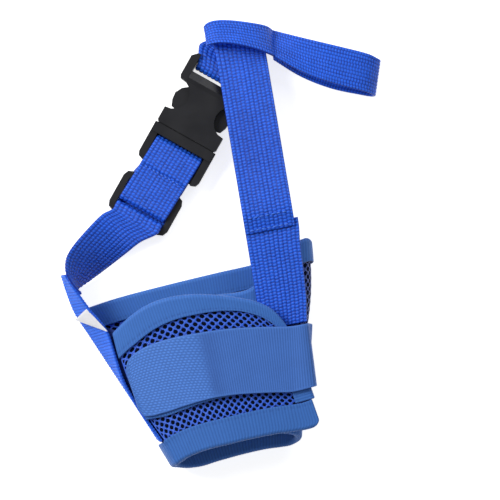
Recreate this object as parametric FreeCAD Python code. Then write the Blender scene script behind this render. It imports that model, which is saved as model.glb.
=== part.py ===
"""Soft mesh dog muzzle, small size, lying on its back panel with the closing flap up.

Millimetres, +Z up, +Y from the nose end to the head end, +X to the muzzle's right.
Outlines are written about the muzzle's own datum. The last step moves everything so
that the origin is the bottom centre of the whole object's box.
"""

import FreeCAD, Part
import math
import os

V = FreeCAD.Vector

# ---- driving dimensions ------------------------------------------------------
WEB_WIDTH = 20.0  # side and neck webbing
WEB_THICK = 1.4
MESH_THICK = 1.4  # air mesh
TAPE_THICK = 0.8  # one layer of binding tape
HEAD_TAPE = 9.0  # how far the head binding covers the panel
FLAP_TAPE = 8.0
NOSE_TAPE = 10.5
EDGE_TAPE = 7.6
EDGE_FOLD = 1.0  # how far that tape stands out past the flap's cut edge
SEAM_GAP = 0.9  # between it and the nose binding
BAND_THICK = 1.2  # closing band
PATCH_THICK = 0.6  # hook or loop patch
TAPE_FOLD = 1.0  # solid edge of the binding, outside the panel's cut edge
FIT = 0.1  # room between a panel and its binding
CLEAR = 0.35  # room between moving pieces
WALL_HEIGHT = 18.0  # height of the left strap's upper edge
TUBE_TOP = 19.4  # upper face of the panel's fold-over under the right strap
FLAP_RISE = 8.0  # how far the flap arches above its hinge edge
NOSE_DROP = 0.25  # share of that arch lost at the nose end

BUCKLE_THICK = 8.6
BUCKLE_HALF = 13.3  # half the width at the mouth
BUCKLE_SHOULDER = 14.0  # half the width at the strap end
FEMALE_LENGTH = 31.4
MALE_LENGTH = 16.4
BAR_THICK = 2.8  # strap bars of the buckle
BUCKLE_WALL = 1.9  # top and bottom plates of the female half
MOUTH_HALF = 8.9  # half the width of the mouth
LEDGE = 7.0  # depth of the mouth to the latch ledge
GLIDE_LENGTH = 17.8
GLIDE_WIDTH = 26.6
GLIDE_THICK = 3.0
GLIDE_BAR = 3.1
FOLD_RADIUS = 2.2  # centreline of the strap where it turns back at the collar loop

# ---- places ------------------------------------------------------------------
MOUTH_AT = V(-4.8, 45.2, 0)  # centre of the buckle's mouth
BUCKLE_DEG = 40.6  # buckle axis, turned from +Y towards +X
AXIS = V(math.sin(math.radians(BUCKLE_DEG)), math.cos(math.radians(BUCKLE_DEG)), 0)
ACROSS = V(AXIS.y, -AXIS.x, 0)
BUCKLE_MID = BUCKLE_THICK / 2

# left wall: foot and top edge of the standing strap, head end first
WALL_FOOT = [(-64.6, 0.3), (-63.8, -7.5), (-62.2, -16), (-58.2, -26), (-50.4, -45), (-44.9, -58.4), (-39.4, -72.5)]
WALL_TOP = [(-63.2, 0.1), (-60.0, -7.5), (-56.2, -15.6), (-50.7, -25), (-46.9, -45), (-43.0, -58.4), (-38.1, -72.5)]

# back panel: its head edge and nose edge, from the left wall, along the floor, up the
# right wall and over the top. Each entry is x, y and height as a share of TUBE_TOP.
PANEL_HEAD = [
    (-58.8, -15.0, 0), (-44, -13.2, 0), (-24, -12, 0), (-4, -11.2, 0), (14, -10.6, 0), (26, -8.6, 0),
    (31.5, -7.0, 0.10), (34.8, -6.0, 0.30), (35.6, -5.2, 0.55), (34.4, -4.6, 0.80), (30.6, -5.4, 0.95),
    (25, -9.5, 1), (16.5, -16, 1), (7, -20, 1), (-5.5, -19.6, 1),
]
PANEL_NOSE = [
    (-33.4, -83.0, 0), (-27, -85.6, 0), (-17, -84.9, 0), (-7, -84.2, 0), (2, -84.0, 0), (8.4, -84.4, 0),
    (12.2, -84.4, 0.10), (15.2, -83.4, 0.30), (16.2, -82.0, 0.55), (15.4, -80.4, 0.76), (12.8, -79.0, 0.88),
    (9.0, -78.0, 0.92), (4.0, -77.4, 0.92), (-2, -77.0, 0.92), (-9, -76.8, 0.92),
]
# flap: head edge and nose edge, from the hinge to the free edge
FLAP_HEAD = [
    (-48.0, -26.2), (-41.4, -21.9), (-33.6, -18.3), (-25.4, -16.8), (-15.5, -17.2), (-5.4, -19.4),
    (3.0, -22.2), (9.3, -24.9), (14.2, -28.4), (17.0, -32.0), (19.4, -36.6),
]
FLAP_NOSE = [
    (-33.4, -82.0), (-29.6, -80.2), (-23.6, -78.7), (-17.6, -78.0), (-11.0, -77.7), (-4.4, -77.4),
    (2.4, -77.3), (8.6, -77.4), (14.2, -77.8), (19.8, -78.0), (25.2, -77.4),
]
WALL_LINES = (9, 8, 7)  # entries of the panel outline that make the right wall, from the top
# closing band: head edge and nose edge across the flap
BAND_HEAD = [(-44.6, -38.0), (-39.1, -34.6), (-32.5, -33.0), (-24.5, -32.3), (-14.3, -32.4), (-4.9, -32.9),
             (3.4, -33.9), (12.4, -35.4), (20.6, -36.9)]
BAND_NOSE = [(-40.0, -61.8), (-34.0, -60.9), (-27.4, -60.0), (-20.6, -59.2), (-13.0, -58.8), (-5.4, -59.2),
             (2.4, -60.2), (10.4, -61.5), (17.0, -62.6)]
BAND_AT = (33.4, 58.6)  # head and nose edge of the band along the right wall

# neck strap, left run: upper edge and lower edge in plan, with the height of each
LEFT_RUN_TOP = [(-61.9, 2.2, 18.6), (-60.6, 6.6, 18.2), (-56.8, 11.4, 15.2), (-50.4, 17.0, 10.4),
                (-43.6, 21.9, 6.6)]
LEFT_RUN_FOOT = [(-58.6, 0.6, 0.8), (-53.2, 0.2, 0.9), (-46.2, 1.0, 1.4), (-37.9, 4.2, 2.3),
                 (-30.9, 7.3, 4.4)]
# neck strap, right run: centreline in plan
RIGHT_RUN_START = V(20.8, 0.4, 0)
RIGHT_RUN_END = V(23.3, 78.0, 0)
SEW_LENGTH = 9.0  # overlap of the two right straps
SIDE_STRAP_END = -36.6  # lower end of the right side strap, under the flap
FOLD_HALF = V(-0.938, 0.347, 0)  # direction of the fold line at the collar loop

NECK_AXIS_Y = 1.2  # line about which the neck loop tilts
BAR_TACK = (V(37.0, 80.2, 1.8), V(35.4, 69.0, 11.6))
LOOP_WAY = V(0.91, -0.41, 0)  # the way the collar loop leaves it

OUT = "parts"


# ---- helpers -----------------------------------------------------------------
def unit(v):
    return v * (1.0 / v.Length)


def loft(rings):
    """A solid with straight faces between closed rings of points."""
    wires = [Part.makePolygon(list(ring) + [ring[0]]) for ring in rings]
    return Part.makeLoft(wires, True, True)


def prism(points, low, high):
    """An outline in plan, raised from one height to another."""
    ring = [V(p.x, p.y, low) for p in points]
    return Part.Face(Part.makePolygon(ring + [ring[0]])).extrude(V(0, 0, high - low))


def normals(pairs):
    """Unit normal of a ribbon at each pair of edge points."""
    mids = [(a + b) * 0.5 for a, b in pairs]
    out = []
    for i, (a, b) in enumerate(pairs):
        ahead = mids[min(i + 1, len(mids) - 1)] - mids[max(i - 1, 0)]
        out.append(unit((b - a).cross(ahead)))
    return out


def ribbon(pairs, thick=WEB_THICK, ends=None):
    """Webbing through pairs of edge points, thickened both ways. ends fixes the end normals."""
    sides = normals(pairs)
    if ends:
        sides[0], sides[-1] = ends
    rings = []
    for (a, b), n in zip(pairs, sides):
        h = n * (thick / 2)
        rings.append([a - h, b - h, b + h, a + h])
    return loft(rings)


def buckle_point(along, across, z):
    """A point given along and across the buckle's axis from its mouth."""
    return MOUTH_AT + AXIS * along + ACROSS * across + V(0, 0, z)


def buckle_outline(points):
    return [buckle_point(s, n, 0) for s, n in points]


def buckle_box(s0, s1, n0, n1, z0, z1):
    return prism(buckle_outline([(s0, n0), (s1, n0), (s1, n1), (s0, n1)]), z0, z1)


def turn(centre_s, centre_z, radius, start, end, steps=4):
    """Points of a round turn in the plane of the buckle's axis and height."""
    out = []
    for i in range(steps + 1):
        a = math.radians(start + (end - start) * i / steps)
        out.append((centre_s + radius * math.cos(a), centre_z + radius * math.sin(a)))
    return out


# ---- sheets with bound edges -------------------------------------------------
class Sheet:
    """A sewn panel: fan lines run from its head edge to its nose edge."""

    def __init__(self, head, nose, flip=1):
        self.head, self.nose = head, nose
        self.n = []
        for i in range(len(head)):
            j, k = max(i - 1, 0), min(i + 1, len(head) - 1)
            step = unit(head[k] - head[j]) + unit(nose[k] - nose[j])
            self.n.append(unit(step.cross(nose[i] - head[i])) * flip)

    def at(self, i, s, h):
        """Point on fan line i, s from the head edge (or, below 0, from the nose), h up."""
        d = unit(self.nose[i] - self.head[i])
        base = self.head[i] + d * s if s >= 0 else self.nose[i] + d * s
        return base + self.n[i] * h

    def panel(self, inset, first=0, last=None, thick=MESH_THICK):
        last = len(self.head) if last is None else last
        return loft([
            [self.at(i, inset, 0), self.at(i, -inset, 0), self.at(i, -inset, thick), self.at(i, inset, thick)]
            for i in range(first, last)
        ])

    def binding(self, width, side, first=0, last=None, thick=MESH_THICK):
        """A folded tape: a U round the head edge (side 1) or the nose edge (side -1)."""
        last = len(self.head) if last is None else last
        low, high = -TAPE_THICK, thick + TAPE_THICK
        edge, web = 0.001, TAPE_FOLD
        profile = [(edge, low), (width, low), (width, -FIT), (web, -FIT), (web, thick + FIT),
                   (width, thick + FIT), (width, high), (edge, high)]
        return loft([[self.at(i, side * s, h) for s, h in profile] for i in range(first, last)])


FLOOR = TAPE_THICK  # the back panel's lower face, above the tape that lies on the table


def back_sheet():
    lift = TUBE_TOP - MESH_THICK - FLOOR
    return Sheet(
        [V(x, y, FLOOR + share * lift) for x, y, share in PANEL_HEAD],
        [V(x, y, FLOOR + share * lift) for x, y, share in PANEL_NOSE],
        flip=-1,
    )


def flap_height(x, y):
    """Lower face of the flap's mesh above a point in plan."""
    v = (FLAP_HEAD[0][1] - y) / (FLAP_HEAD[0][1] - FLAP_NOSE[0][1])
    left = FLAP_HEAD[0][0] + (FLAP_NOSE[0][0] - FLAP_HEAD[0][0]) * v
    right = 24.0
    u = max(0.0, min(1.0, (x - left) / (right - left)))
    arch = math.sin(math.pi * min(u, 0.5)) - (0.22 * (1 - math.cos(math.pi * (u - 0.5))) if u > 0.5 else 0)
    return WALL_HEIGHT - MESH_THICK + FLAP_RISE * arch * (1 - NOSE_DROP * max(0.0, min(1.0, v)))


def flap_sheet():
    return Sheet(
        [V(x, y, flap_height(x, y)) for x, y in FLAP_HEAD],
        [V(x, y, flap_height(x, y)) for x, y in FLAP_NOSE],
        flip=-1,
    )


PANEL_INSET = 2.4  # cut edge of a panel, inside its binding


def mesh_back_panel():
    return back_sheet().panel(PANEL_INSET)


def head_binding():
    return back_sheet().binding(HEAD_TAPE, 1)


def nose_binding_back():
    return back_sheet().binding(NOSE_TAPE, -1)


def mesh_front_flap():
    return flap_sheet().panel(PANEL_INSET)


def flap_top_binding():
    return flap_sheet().binding(FLAP_TAPE, 1)


def nose_binding_front():
    return flap_sheet().binding(NOSE_TAPE, -1)


def flap_edge_binding():
    """Folded tape on the flap's free edge, between the two other bindings."""
    sheet = flap_sheet()
    last = len(FLAP_HEAD) - 1
    head, nose = sheet.head[last], sheet.nose[last]
    along = unit(nose - head)
    inward = (sheet.head[last - 1] + sheet.nose[last - 1]) * 0.5 - (head + nose) * 0.5
    inward = unit(inward - along * inward.dot(along))
    up = unit(along.cross(inward))
    up = up if up.z > 0 else up * -1
    low, high, edge = -TAPE_THICK, MESH_THICK + TAPE_THICK, EDGE_FOLD
    rings = []
    for s in (FLAP_TAPE + 2 * FIT, (nose - head).Length - NOSE_TAPE - SEAM_GAP):
        at = head + along * s - inward * edge
        profile = [(0, low), (EDGE_TAPE, low), (EDGE_TAPE, -FIT), (edge - FIT, -FIT),
                   (edge - FIT, MESH_THICK + FIT), (EDGE_TAPE, MESH_THICK + FIT), (EDGE_TAPE, high), (0, high)]
        rings.append([at + inward * a + up * b for a, b in profile])
    return loft(rings)


# ---- closing band ------------------------------------------------------------
def flap_edge_x(y):
    """Outside of the flap's free edge, with its tape."""
    (x0, y0), (x1, y1) = FLAP_HEAD[-1], FLAP_NOSE[-1]
    return x0 + (x1 - x0) * (y - y0) / (y1 - y0) + EDGE_FOLD


def band_lines():
    """Head and nose edge points of the band's lower face."""
    rise = MESH_THICK + TAPE_THICK + CLEAR
    pairs = [
        (V(x1, y1, flap_height(x1, y1) + rise), V(x2, y2, flap_height(x2, y2) + rise))
        for (x1, y1), (x2, y2) in zip(BAND_HEAD, BAND_NOSE)
    ]
    wall = back_sheet()
    stand_off = FIT + 2 * PATCH_THICK + CLEAR
    side = [[wall.at(i, s, -stand_off) for s in BAND_AT] for i in WALL_LINES]
    for out, drop in ((0.2, 0.5), (1.1, 4.2)):
        pair = []
        for top, foot in zip(pairs[len(BAND_HEAD) - 1], side[0]):
            x = max(flap_edge_x(top.y) + CLEAR + out, foot.x - 1.6 + out)
            pair.append(V(x, (top.y + foot.y) / 2, top.z - drop))
        pairs.append(tuple(pair))
    return pairs + [tuple(pair) for pair in side]


def shifted(pairs, by):
    return [(a + n * by, b + n * by) for (a, b), n in zip(pairs, normals(pairs))]


def closing_band():
    pairs = band_lines()
    out = 1 if normals(pairs)[0].z > 0 else -1
    return ribbon(shifted(pairs, out * BAND_THICK / 2), BAND_THICK)


def hook_patch():
    """Hooks on the inside of the band's free end."""
    pairs = band_lines()
    out = 1 if normals(pairs)[0].z > 0 else -1
    inside = shifted(pairs, -out * (PATCH_THICK / 2 + 0.02))[-3:]
    trimmed = [(a + unit(b - a) * 1.5, b - unit(b - a) * 1.5) for a, b in inside]
    return ribbon(trimmed, PATCH_THICK)


def loop_patch():
    """Loops sewn on the right wall, where the hooks land."""
    sheet = back_sheet()
    low = -FIT
    rings = []
    for i in WALL_LINES:
        s0, s1 = BAND_AT[0] + 1.5, BAND_AT[1] - 1.5
        ring = [sheet.at(i, s0, low), sheet.at(i, s1, low), sheet.at(i, s1, low - PATCH_THICK),
                sheet.at(i, s0, low - PATCH_THICK)]
        rings.append(ring)
    return loft(rings)


# ---- webbing -----------------------------------------------------------------
FOOT = WEB_THICK * 0.42  # lower edge of standing webbing, so that its leaning face clears the table


def wall_pairs(first, last, shift):
    """Edge points of webbing standing at the left wall, moved inwards by a distance."""
    pairs = [
        (V(fx, fy, FOOT), V(tx, ty, WALL_HEIGHT))
        for (fx, fy), (tx, ty) in zip(WALL_FOOT[first:last], WALL_TOP[first:last])
    ]
    inner = 1 if normals(pairs)[0].x > 0 else -1
    return shifted(pairs, inner * shift)


def side_strap_left():
    return ribbon(wall_pairs(0, len(WALL_FOOT), WEB_THICK / 2))


def neck_strap_left_end():
    """The sewn end of the left neck strap, inside the side strap."""
    return ribbon(wall_pairs(0, 2, WEB_THICK * 1.5 + FIT))


def care_label():
    """A folded label sewn between the two layers, lying over the outer face."""
    a, b = V(*WALL_TOP[1], WALL_HEIGHT), V(*WALL_TOP[3], WALL_HEIGHT)
    foot = V(*WALL_FOOT[2], 0)
    down = unit(foot - (a + b) * 0.5)
    face = unit((b - a).cross(down))
    face = face if face.x < 0 else face * -1
    start, end = a + (b - a) * 0.34, a + (b - a) * 0.97
    tip = a + (b - a) * 0.42 + down * 7.5
    lift = face * (FIT + 0.35)
    ring = [p + lift for p in (start, end, tip)]
    return loft([ring, [p + face * 0.4 for p in ring]])


def right_level(y):
    """Height of the right neck strap's centreline."""
    top = TUBE_TOP + 2 * FIT + 1.5 * WEB_THICK + CLEAR
    low = BUCKLE_MID + 2 * FOLD_RADIUS
    flat = SEW_LENGTH + 1.5
    share = max(0.0, (y - flat)) / (RIGHT_RUN_END.y - flat)
    return top + (low - top) * share


def right_centre(y):
    share = (y - RIGHT_RUN_START.y) / (RIGHT_RUN_END.y - RIGHT_RUN_START.y)
    return RIGHT_RUN_START + (RIGHT_RUN_END - RIGHT_RUN_START) * share


def right_pair(y, z):
    c = right_centre(y)
    half = V(WEB_WIDTH / 2, 0, 0)
    return (V(c.x, c.y, z) - half, V(c.x, c.y, z) + half)


def side_strap_right():
    """Webbing sewn on top of the tube, its upper end under the neck strap."""
    z = TUBE_TOP + 2 * FIT + WEB_THICK / 2
    return ribbon([right_pair(SIDE_STRAP_END, z), right_pair(RIGHT_RUN_START.y + SEW_LENGTH, z)])


def neck_strap_right():
    """From the sewn overlap up to the collar loop, back and round the female bar."""
    pairs = [right_pair(y, right_level(y)) for y in (NECK_AXIS_Y + 0.4, SEW_LENGTH + 1.5, 30, 50, 66)]
    half = FOLD_HALF * (WEB_WIDTH / 2 / abs(FOLD_HALF.x))
    ends = (RIGHT_RUN_END + half, RIGHT_RUN_END - half)
    outward = V(-half.y, half.x, 0)
    outward = unit(outward if outward.y > 0 else outward * -1)
    mid = BUCKLE_MID + FOLD_RADIUS
    for step in range(5):
        a = math.pi * step / 4
        off = outward * (FOLD_RADIUS * math.sin(a)) + V(0, 0, mid + FOLD_RADIUS * math.cos(a))
        pairs.append((ends[0] + off, ends[1] + off))
    bar = FEMALE_LENGTH - 1.7  # middle of the bar
    r = BAR_THICK / 2 + CLEAR + WEB_THICK / 2
    path = [(bar + 5.5, BUCKLE_MID + 0.9), (bar + 1.6, BUCKLE_MID + r)]
    path += turn(bar - 1.3, BUCKLE_MID, r, 90, 270)
    path += [(bar + 1.6, BUCKLE_MID - r), (bar + 5.0, BUCKLE_MID - r)]
    h = WEB_WIDTH / 2
    pairs += [(buckle_point(s, -h, z), buckle_point(s, h, z)) for s, z in path]
    return ribbon(pairs)


# ---- collar loop -------------------------------------------------------------
BAR_NORMAL = unit((BAR_TACK[0] - BAR_TACK[1]).cross(LOOP_WAY))
BAR_NORMAL = BAR_NORMAL if BAR_NORMAL.z > 0 else BAR_NORMAL * -1
LAYER = BAR_NORMAL * ((WEB_THICK + FIT) / 2)  # from the bar-tack's middle to a layer's middle


def keeper_loop():
    """The short compartment's upper layer, arched over the neck strap where it turns back."""
    far, near = BAR_TACK
    back = LOOP_WAY * (-CLEAR)
    low = WEB_THICK / 2
    mid = BUCKLE_MID + FOLD_RADIUS
    pairs = [
        (V(9.6, 84.4, mid + 2.2), V(9.0, 79.0, mid + 4.2)),
        (V(9.8, 87.0, low + 8.7), V(10.2, 78.8, low + 12.8)),
        (V(14.0, 88.2, low + 9.6), V(14.4, 78.6, low + 15.0)),
        (V(21.4, 87.2, low + 9.0), V(21.6, 76.8, low + 16.0)),
        (V(30.0, 84.4, low + 9.0), V(29.6, 73.2, low + 15.4)),
        (V(35.2, 82.4, low + 6.2), V(34.2, 70.4, low + 13.6)),
        (far + back + LAYER, near + back + LAYER),
    ]
    return ribbon(pairs)


def collar_loop():
    """The long compartment that the dog's collar runs through."""
    far, near = BAR_TACK
    ahead = LOOP_WAY * CLEAR
    low = WEB_THICK / 2
    pairs = [
        (far + ahead + LAYER, near + ahead + LAYER),
        (V(49.0, 74.8, low + 6.2), V(46.2, 60.9, low + 11.0)),
        (V(62.2, 68.6, low + 7.9), V(56.6, 54.6, low + 11.4)),
        (V(73.2, 63.4, low + 6.8), V(68.0, 49.0, low + 9.8)),
        (V(77.0, 60.8, low + 3.6), V(72.0, 46.8, low + 6.2)),
        (V(77.0, 60.8, low + 0.6), V(71.8, 46.4, low + 2.0)),
        (V(73.2, 62.4, low + 0.2), V(67.6, 48.0, low + 0.6)),
        (V(62.2, 67.4, low), V(56.0, 53.0, low + 0.8)),
        (V(49.0, 73.4, low), V(45.2, 59.8, low + 3.0)),
        (far + ahead - LAYER, near + ahead - LAYER),
    ]
    sign = 1 if normals(pairs)[0].dot(BAR_NORMAL) > 0 else -1
    return ribbon(pairs, ends=(BAR_NORMAL * sign, BAR_NORMAL * -sign))


# ---- buckle ------------------------------------------------------------------
def arc_points(a, mid, b, steps=8):
    """Points along the round arc through three points in plan."""
    edge = Part.Arc(V(*a, 0), V(*mid, 0), V(*b, 0)).toShape()
    return [(p.x, p.y) for p in edge.discretize(steps + 1)]


def female_outline():
    waist = arc_points((LEDGE - 0.6, BUCKLE_HALF), (13.0, 6.4), (19.4, BUCKLE_SHOULDER - 0.6))
    side = [(0, BUCKLE_HALF - 0.5), (0.8, BUCKLE_HALF)] + waist
    side += [(20.6, BUCKLE_SHOULDER), (FEMALE_LENGTH - 2, BUCKLE_SHOULDER), (FEMALE_LENGTH, BUCKLE_SHOULDER - 2)]
    return side + [(s, -n) for s, n in reversed(side)]


SLOT_NEAR = 21.8  # lower side of the female strap slot
SLOT_HALF = WEB_WIDTH / 2 + 0.7


def buckle_female():
    body = prism(buckle_outline(female_outline()), 0, BUCKLE_THICK)
    body = body.cut(buckle_box(-1, 20.0, -MOUTH_HALF, MOUTH_HALF, BUCKLE_WALL, BUCKLE_THICK - BUCKLE_WALL))
    side = BUCKLE_SHOULDER + 2
    body = body.cut(buckle_box(LEDGE, 19.2, -side, side, BUCKLE_WALL, BUCKLE_THICK - BUCKLE_WALL))
    bar_low, bar_high = FEMALE_LENGTH - 3.2, FEMALE_LENGTH - 0.2
    body = body.cut(buckle_box(SLOT_NEAR, bar_low, -SLOT_HALF, SLOT_HALF, -1, BUCKLE_THICK + 1))
    for z0, z1 in ((-1, BUCKLE_MID - BAR_THICK / 2), (BUCKLE_MID + BAR_THICK / 2, BUCKLE_THICK + 1)):
        body = body.cut(buckle_box(bar_low - 1, FEMALE_LENGTH + 1, -SLOT_HALF, SLOT_HALF, z0, z1))
    return body.cut(buckle_box(bar_high, FEMALE_LENGTH + 1, -SLOT_HALF, SLOT_HALF, -1, BUCKLE_THICK + 1))


def buckle_male():
    rail_in = SLOT_HALF
    rail_out = BUCKLE_HALF + 0.4
    rail_low, rail_high = BUCKLE_MID - 2.9, BUCKLE_MID + 2.5
    end = -MALE_LENGTH
    frame = [(-CLEAR, rail_out), (end + 2.4, rail_out), (end + 0.7, rail_out - 0.7), (end, rail_out - 2.4)]
    frame += [(s, -n) for s, n in reversed(frame)]
    body = prism(buckle_outline(frame), rail_low, rail_high)
    body = body.cut(buckle_box(end - 1, -4.4, -rail_in, rail_in, -1, BUCKLE_THICK + 1))
    head = buckle_box(-4.4, -CLEAR, -BUCKLE_HALF, BUCKLE_HALF, 0.7, BUCKLE_THICK - 0.5)
    bar = buckle_box(end + 0.3, end + 3.4, -rail_in - 1, rail_in + 1, BUCKLE_MID - BAR_THICK / 2,
                     BUCKLE_MID + BAR_THICK / 2)
    plug = BUCKLE_THICK / 2 - BUCKLE_WALL - CLEAR
    tongue = prism(
        buckle_outline([(-1, -2.6), (9.5, -1.6), (9.5, 1.6), (-1, 2.6)]),
        BUCKLE_MID - plug, BUCKLE_MID + plug,
    )
    return body.fuse([head, bar, tongue]).removeSplitter()


def prong(side):
    """One springy arm with its press pad, side 1 on the right and -1 on the left."""
    arm = MOUTH_HALF - CLEAR
    shape = [(0, 6.0), (0, arm), (LEDGE + CLEAR, arm), (LEDGE + 0.9, arm + 2.6), (10.4, 12.2), (13.4, 12.5),
             (16.2, 11.0), (18.2, 8.4), (18.4, 7.0), (17.0, 6.2), (9.0, 6.4)]
    height = BUCKLE_THICK / 2 - BUCKLE_WALL - CLEAR
    points = [(s, side * n) for s, n in shape]
    return prism(buckle_outline(points), BUCKLE_MID - height, BUCKLE_MID + height)


# ---- slider and the doubled strap ---------------------------------------------
GLIDE_LOW = WEB_THICK + CLEAR  # underside of the slider, above the strap's under layer
GLIDE_START = -40.2  # its lower end along the buckle's axis
GLIDE_SHIFT = -1.2  # across
SLOT_LENGTH = (GLIDE_LENGTH - 3 * GLIDE_BAR) / 2


def tri_glide():
    """Three bars, two slots, rounded corners."""
    half, r = GLIDE_WIDTH / 2, 3.0
    end = GLIDE_START + GLIDE_LENGTH
    corner = r * (1 - math.sqrt(0.5))
    ring = [(GLIDE_START, half - r), (GLIDE_START + corner, half - corner), (GLIDE_START + r, half),
            (end - r, half), (end - corner, half - corner), (end, half - r)]
    ring += [(s, -n) for s, n in reversed(ring)]
    top = GLIDE_LOW + GLIDE_THICK
    body = prism(buckle_outline([(s, n + GLIDE_SHIFT) for s, n in ring]), GLIDE_LOW, top)
    for i in range(2):
        s0 = GLIDE_START + GLIDE_BAR + i * (GLIDE_BAR + SLOT_LENGTH)
        n = SLOT_HALF
        body = body.cut(buckle_box(s0, s0 + SLOT_LENGTH, GLIDE_SHIFT - n, GLIDE_SHIFT + n, 0, top + 1))
    return body


def adjuster_strap():
    """From under the slider's centre bar, over it, up to the male bar, round and back."""
    over = GLIDE_LOW + GLIDE_THICK + CLEAR + WEB_THICK / 2
    under = GLIDE_LOW - CLEAR - WEB_THICK / 2 + 0.3
    centre = GLIDE_START + GLIDE_BAR + SLOT_LENGTH
    dive = centre - CLEAR - WEB_THICK / 2
    r = BAR_THICK / 2 + CLEAR + WEB_THICK / 2
    path = [(dive, under + 0.6), (dive, over - 1.2), (dive + 0.6, over - 0.3), (dive + 1.6, over)]
    path += [(GLIDE_START + GLIDE_LENGTH + 1, over), (-MALE_LENGTH - 2.0, over + 0.2)]
    path += [(-MALE_LENGTH - 0.4, BUCKLE_MID + r)]
    path += turn(-7.6, BUCKLE_MID, r, 90, -90)
    path += [(-MALE_LENGTH - 0.4, BUCKLE_MID - r), (GLIDE_START + GLIDE_LENGTH + 0.6, BUCKLE_MID - r - 0.4)]
    pairs = []
    for s, z in path:
        lean = max(0.0, min(1.0, (-s - 8) / 26)) * GLIDE_SHIFT
        pairs.append((buckle_point(s, lean - WEB_WIDTH / 2, z), buckle_point(s, lean + WEB_WIDTH / 2, z)))
    return ribbon(pairs)


def neck_strap_left():
    """From the left seam, twisting flat, over the slider's lower bar into its slot."""
    pairs = [(V(*a), V(*b)) for a, b in zip(LEFT_RUN_TOP, LEFT_RUN_FOOT)]
    over = GLIDE_LOW + GLIDE_THICK + CLEAR + WEB_THICK / 2
    entry = GLIDE_START + GLIDE_BAR + CLEAR + WEB_THICK / 2
    h = WEB_WIDTH / 2 - 0.2
    for s, z in ((GLIDE_START + 0.6, over), (entry - 0.9, over), (entry - 0.2, over - 0.35),
                 (entry, over - 1.3), (entry, GLIDE_LOW + 0.9)):
        pairs.append((buckle_point(s, GLIDE_SHIFT - h, z), buckle_point(s, GLIDE_SHIFT + h, z)))
    return ribbon(pairs)


# ---- stitching ---------------------------------------------------------------
def thread(a, b, radius=0.3):
    d = b - a
    return Part.makeCylinder(radius, d.Length, a, d)


def stitch_row(a, b, count, share=0.6):
    """Separate stitches along a line."""
    step = (b - a) * (1.0 / count)
    return [thread(a + step * i, a + step * (i + share)) for i in range(count)]


def neck_seam_stitches():
    """Box stitch on the right strap overlap."""
    z = right_level(0) + WEB_THICK / 2 + 0.32
    lo, hi = right_pair(NECK_AXIS_Y + 1.6, z), right_pair(SEW_LENGTH - 1.2, z)
    inset = V(2.0, 0, 0)
    a, b, c, d = lo[0] + inset, lo[1] - inset, hi[1] - inset, hi[0] + inset
    rows = stitch_row(a, b, 6) + stitch_row(d, c, 6)
    return Part.makeCompound(rows)


def adjuster_stitches():
    """The row that closes the strap's loop at the male buckle."""
    over = GLIDE_LOW + GLIDE_THICK + CLEAR + WEB_THICK / 2
    z = over + 0.2 + WEB_THICK / 2 + 0.55
    s = -MALE_LENGTH - 1.9
    return Part.makeCompound(stitch_row(buckle_point(s, -8.6, z), buckle_point(s, 7.4, z), 8))


PARTS = {
    "mesh_back_panel": mesh_back_panel,
    "head_binding": head_binding,
    "nose_binding_back": nose_binding_back,
    "loop_patch": loop_patch,
    "side_strap_left": side_strap_left,
    "side_strap_right": side_strap_right,
    "neck_strap_left_end": neck_strap_left_end,
    "care_label": care_label,
    "mesh_front_flap": mesh_front_flap,
    "flap_top_binding": flap_top_binding,
    "flap_edge_binding": flap_edge_binding,
    "nose_binding_front": nose_binding_front,
    "closing_band": closing_band,
    "hook_patch": hook_patch,
    "neck_strap_left": neck_strap_left,
    "neck_strap_right": neck_strap_right,
    "neck_seam_stitches": neck_seam_stitches,
    "keeper_loop": keeper_loop,
    "collar_loop": collar_loop,
    "buckle_female": buckle_female,
    "buckle_male": buckle_male,
    "prong_left": lambda: prong(-1),
    "prong_right": lambda: prong(1),
    "tri_glide": tri_glide,
    "adjuster_strap": adjuster_strap,
    "adjuster_stitches": adjuster_stitches,
}


def build():
    shapes = {name: make() for name, make in PARTS.items()}
    box = FreeCAD.BoundBox()
    for shape in shapes.values():
        box.add(shape.optimalBoundingBox(False))
    shift = V(-box.Center.x, -box.Center.y, -box.ZMin)
    for shape in shapes.values():
        shape.translate(shift)
    return shapes, shift, box


shapes, shift, box = build()
os.makedirs(OUT, exist_ok=True)
for name, shape in shapes.items():
    shape.exportStep(f"{OUT}/{name}.step")
    print(f"{name}: valid {shape.isValid()}, {len(shape.Solids)} solids, {shape.Volume:.0f} mm3")
print(f"size {box.XLength:.1f} x {box.YLength:.1f} x {box.ZLength:.1f} mm, shift {shift}")
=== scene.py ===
# %% [markdown]
# # A soft mesh dog muzzle
# This notebook dresses the engineering model of a small dog muzzle: a tapered tube of
# knitted air mesh with taped edges, a flap that closes with a hook-and-loop band, and
# a neck loop of woven webbing with a plastic buckle. Everything soft is rebuilt as a
# detailed mesh. The moulded plastic keeps its engineering shape and gets soft edges
# and a finish. Lengths are written in millimetres and turned to metres at the end.

import math

import bmesh
import bpy
import numpy as np
from mathutils import Matrix, Vector
from mathutils.kdtree import KDTree


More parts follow.
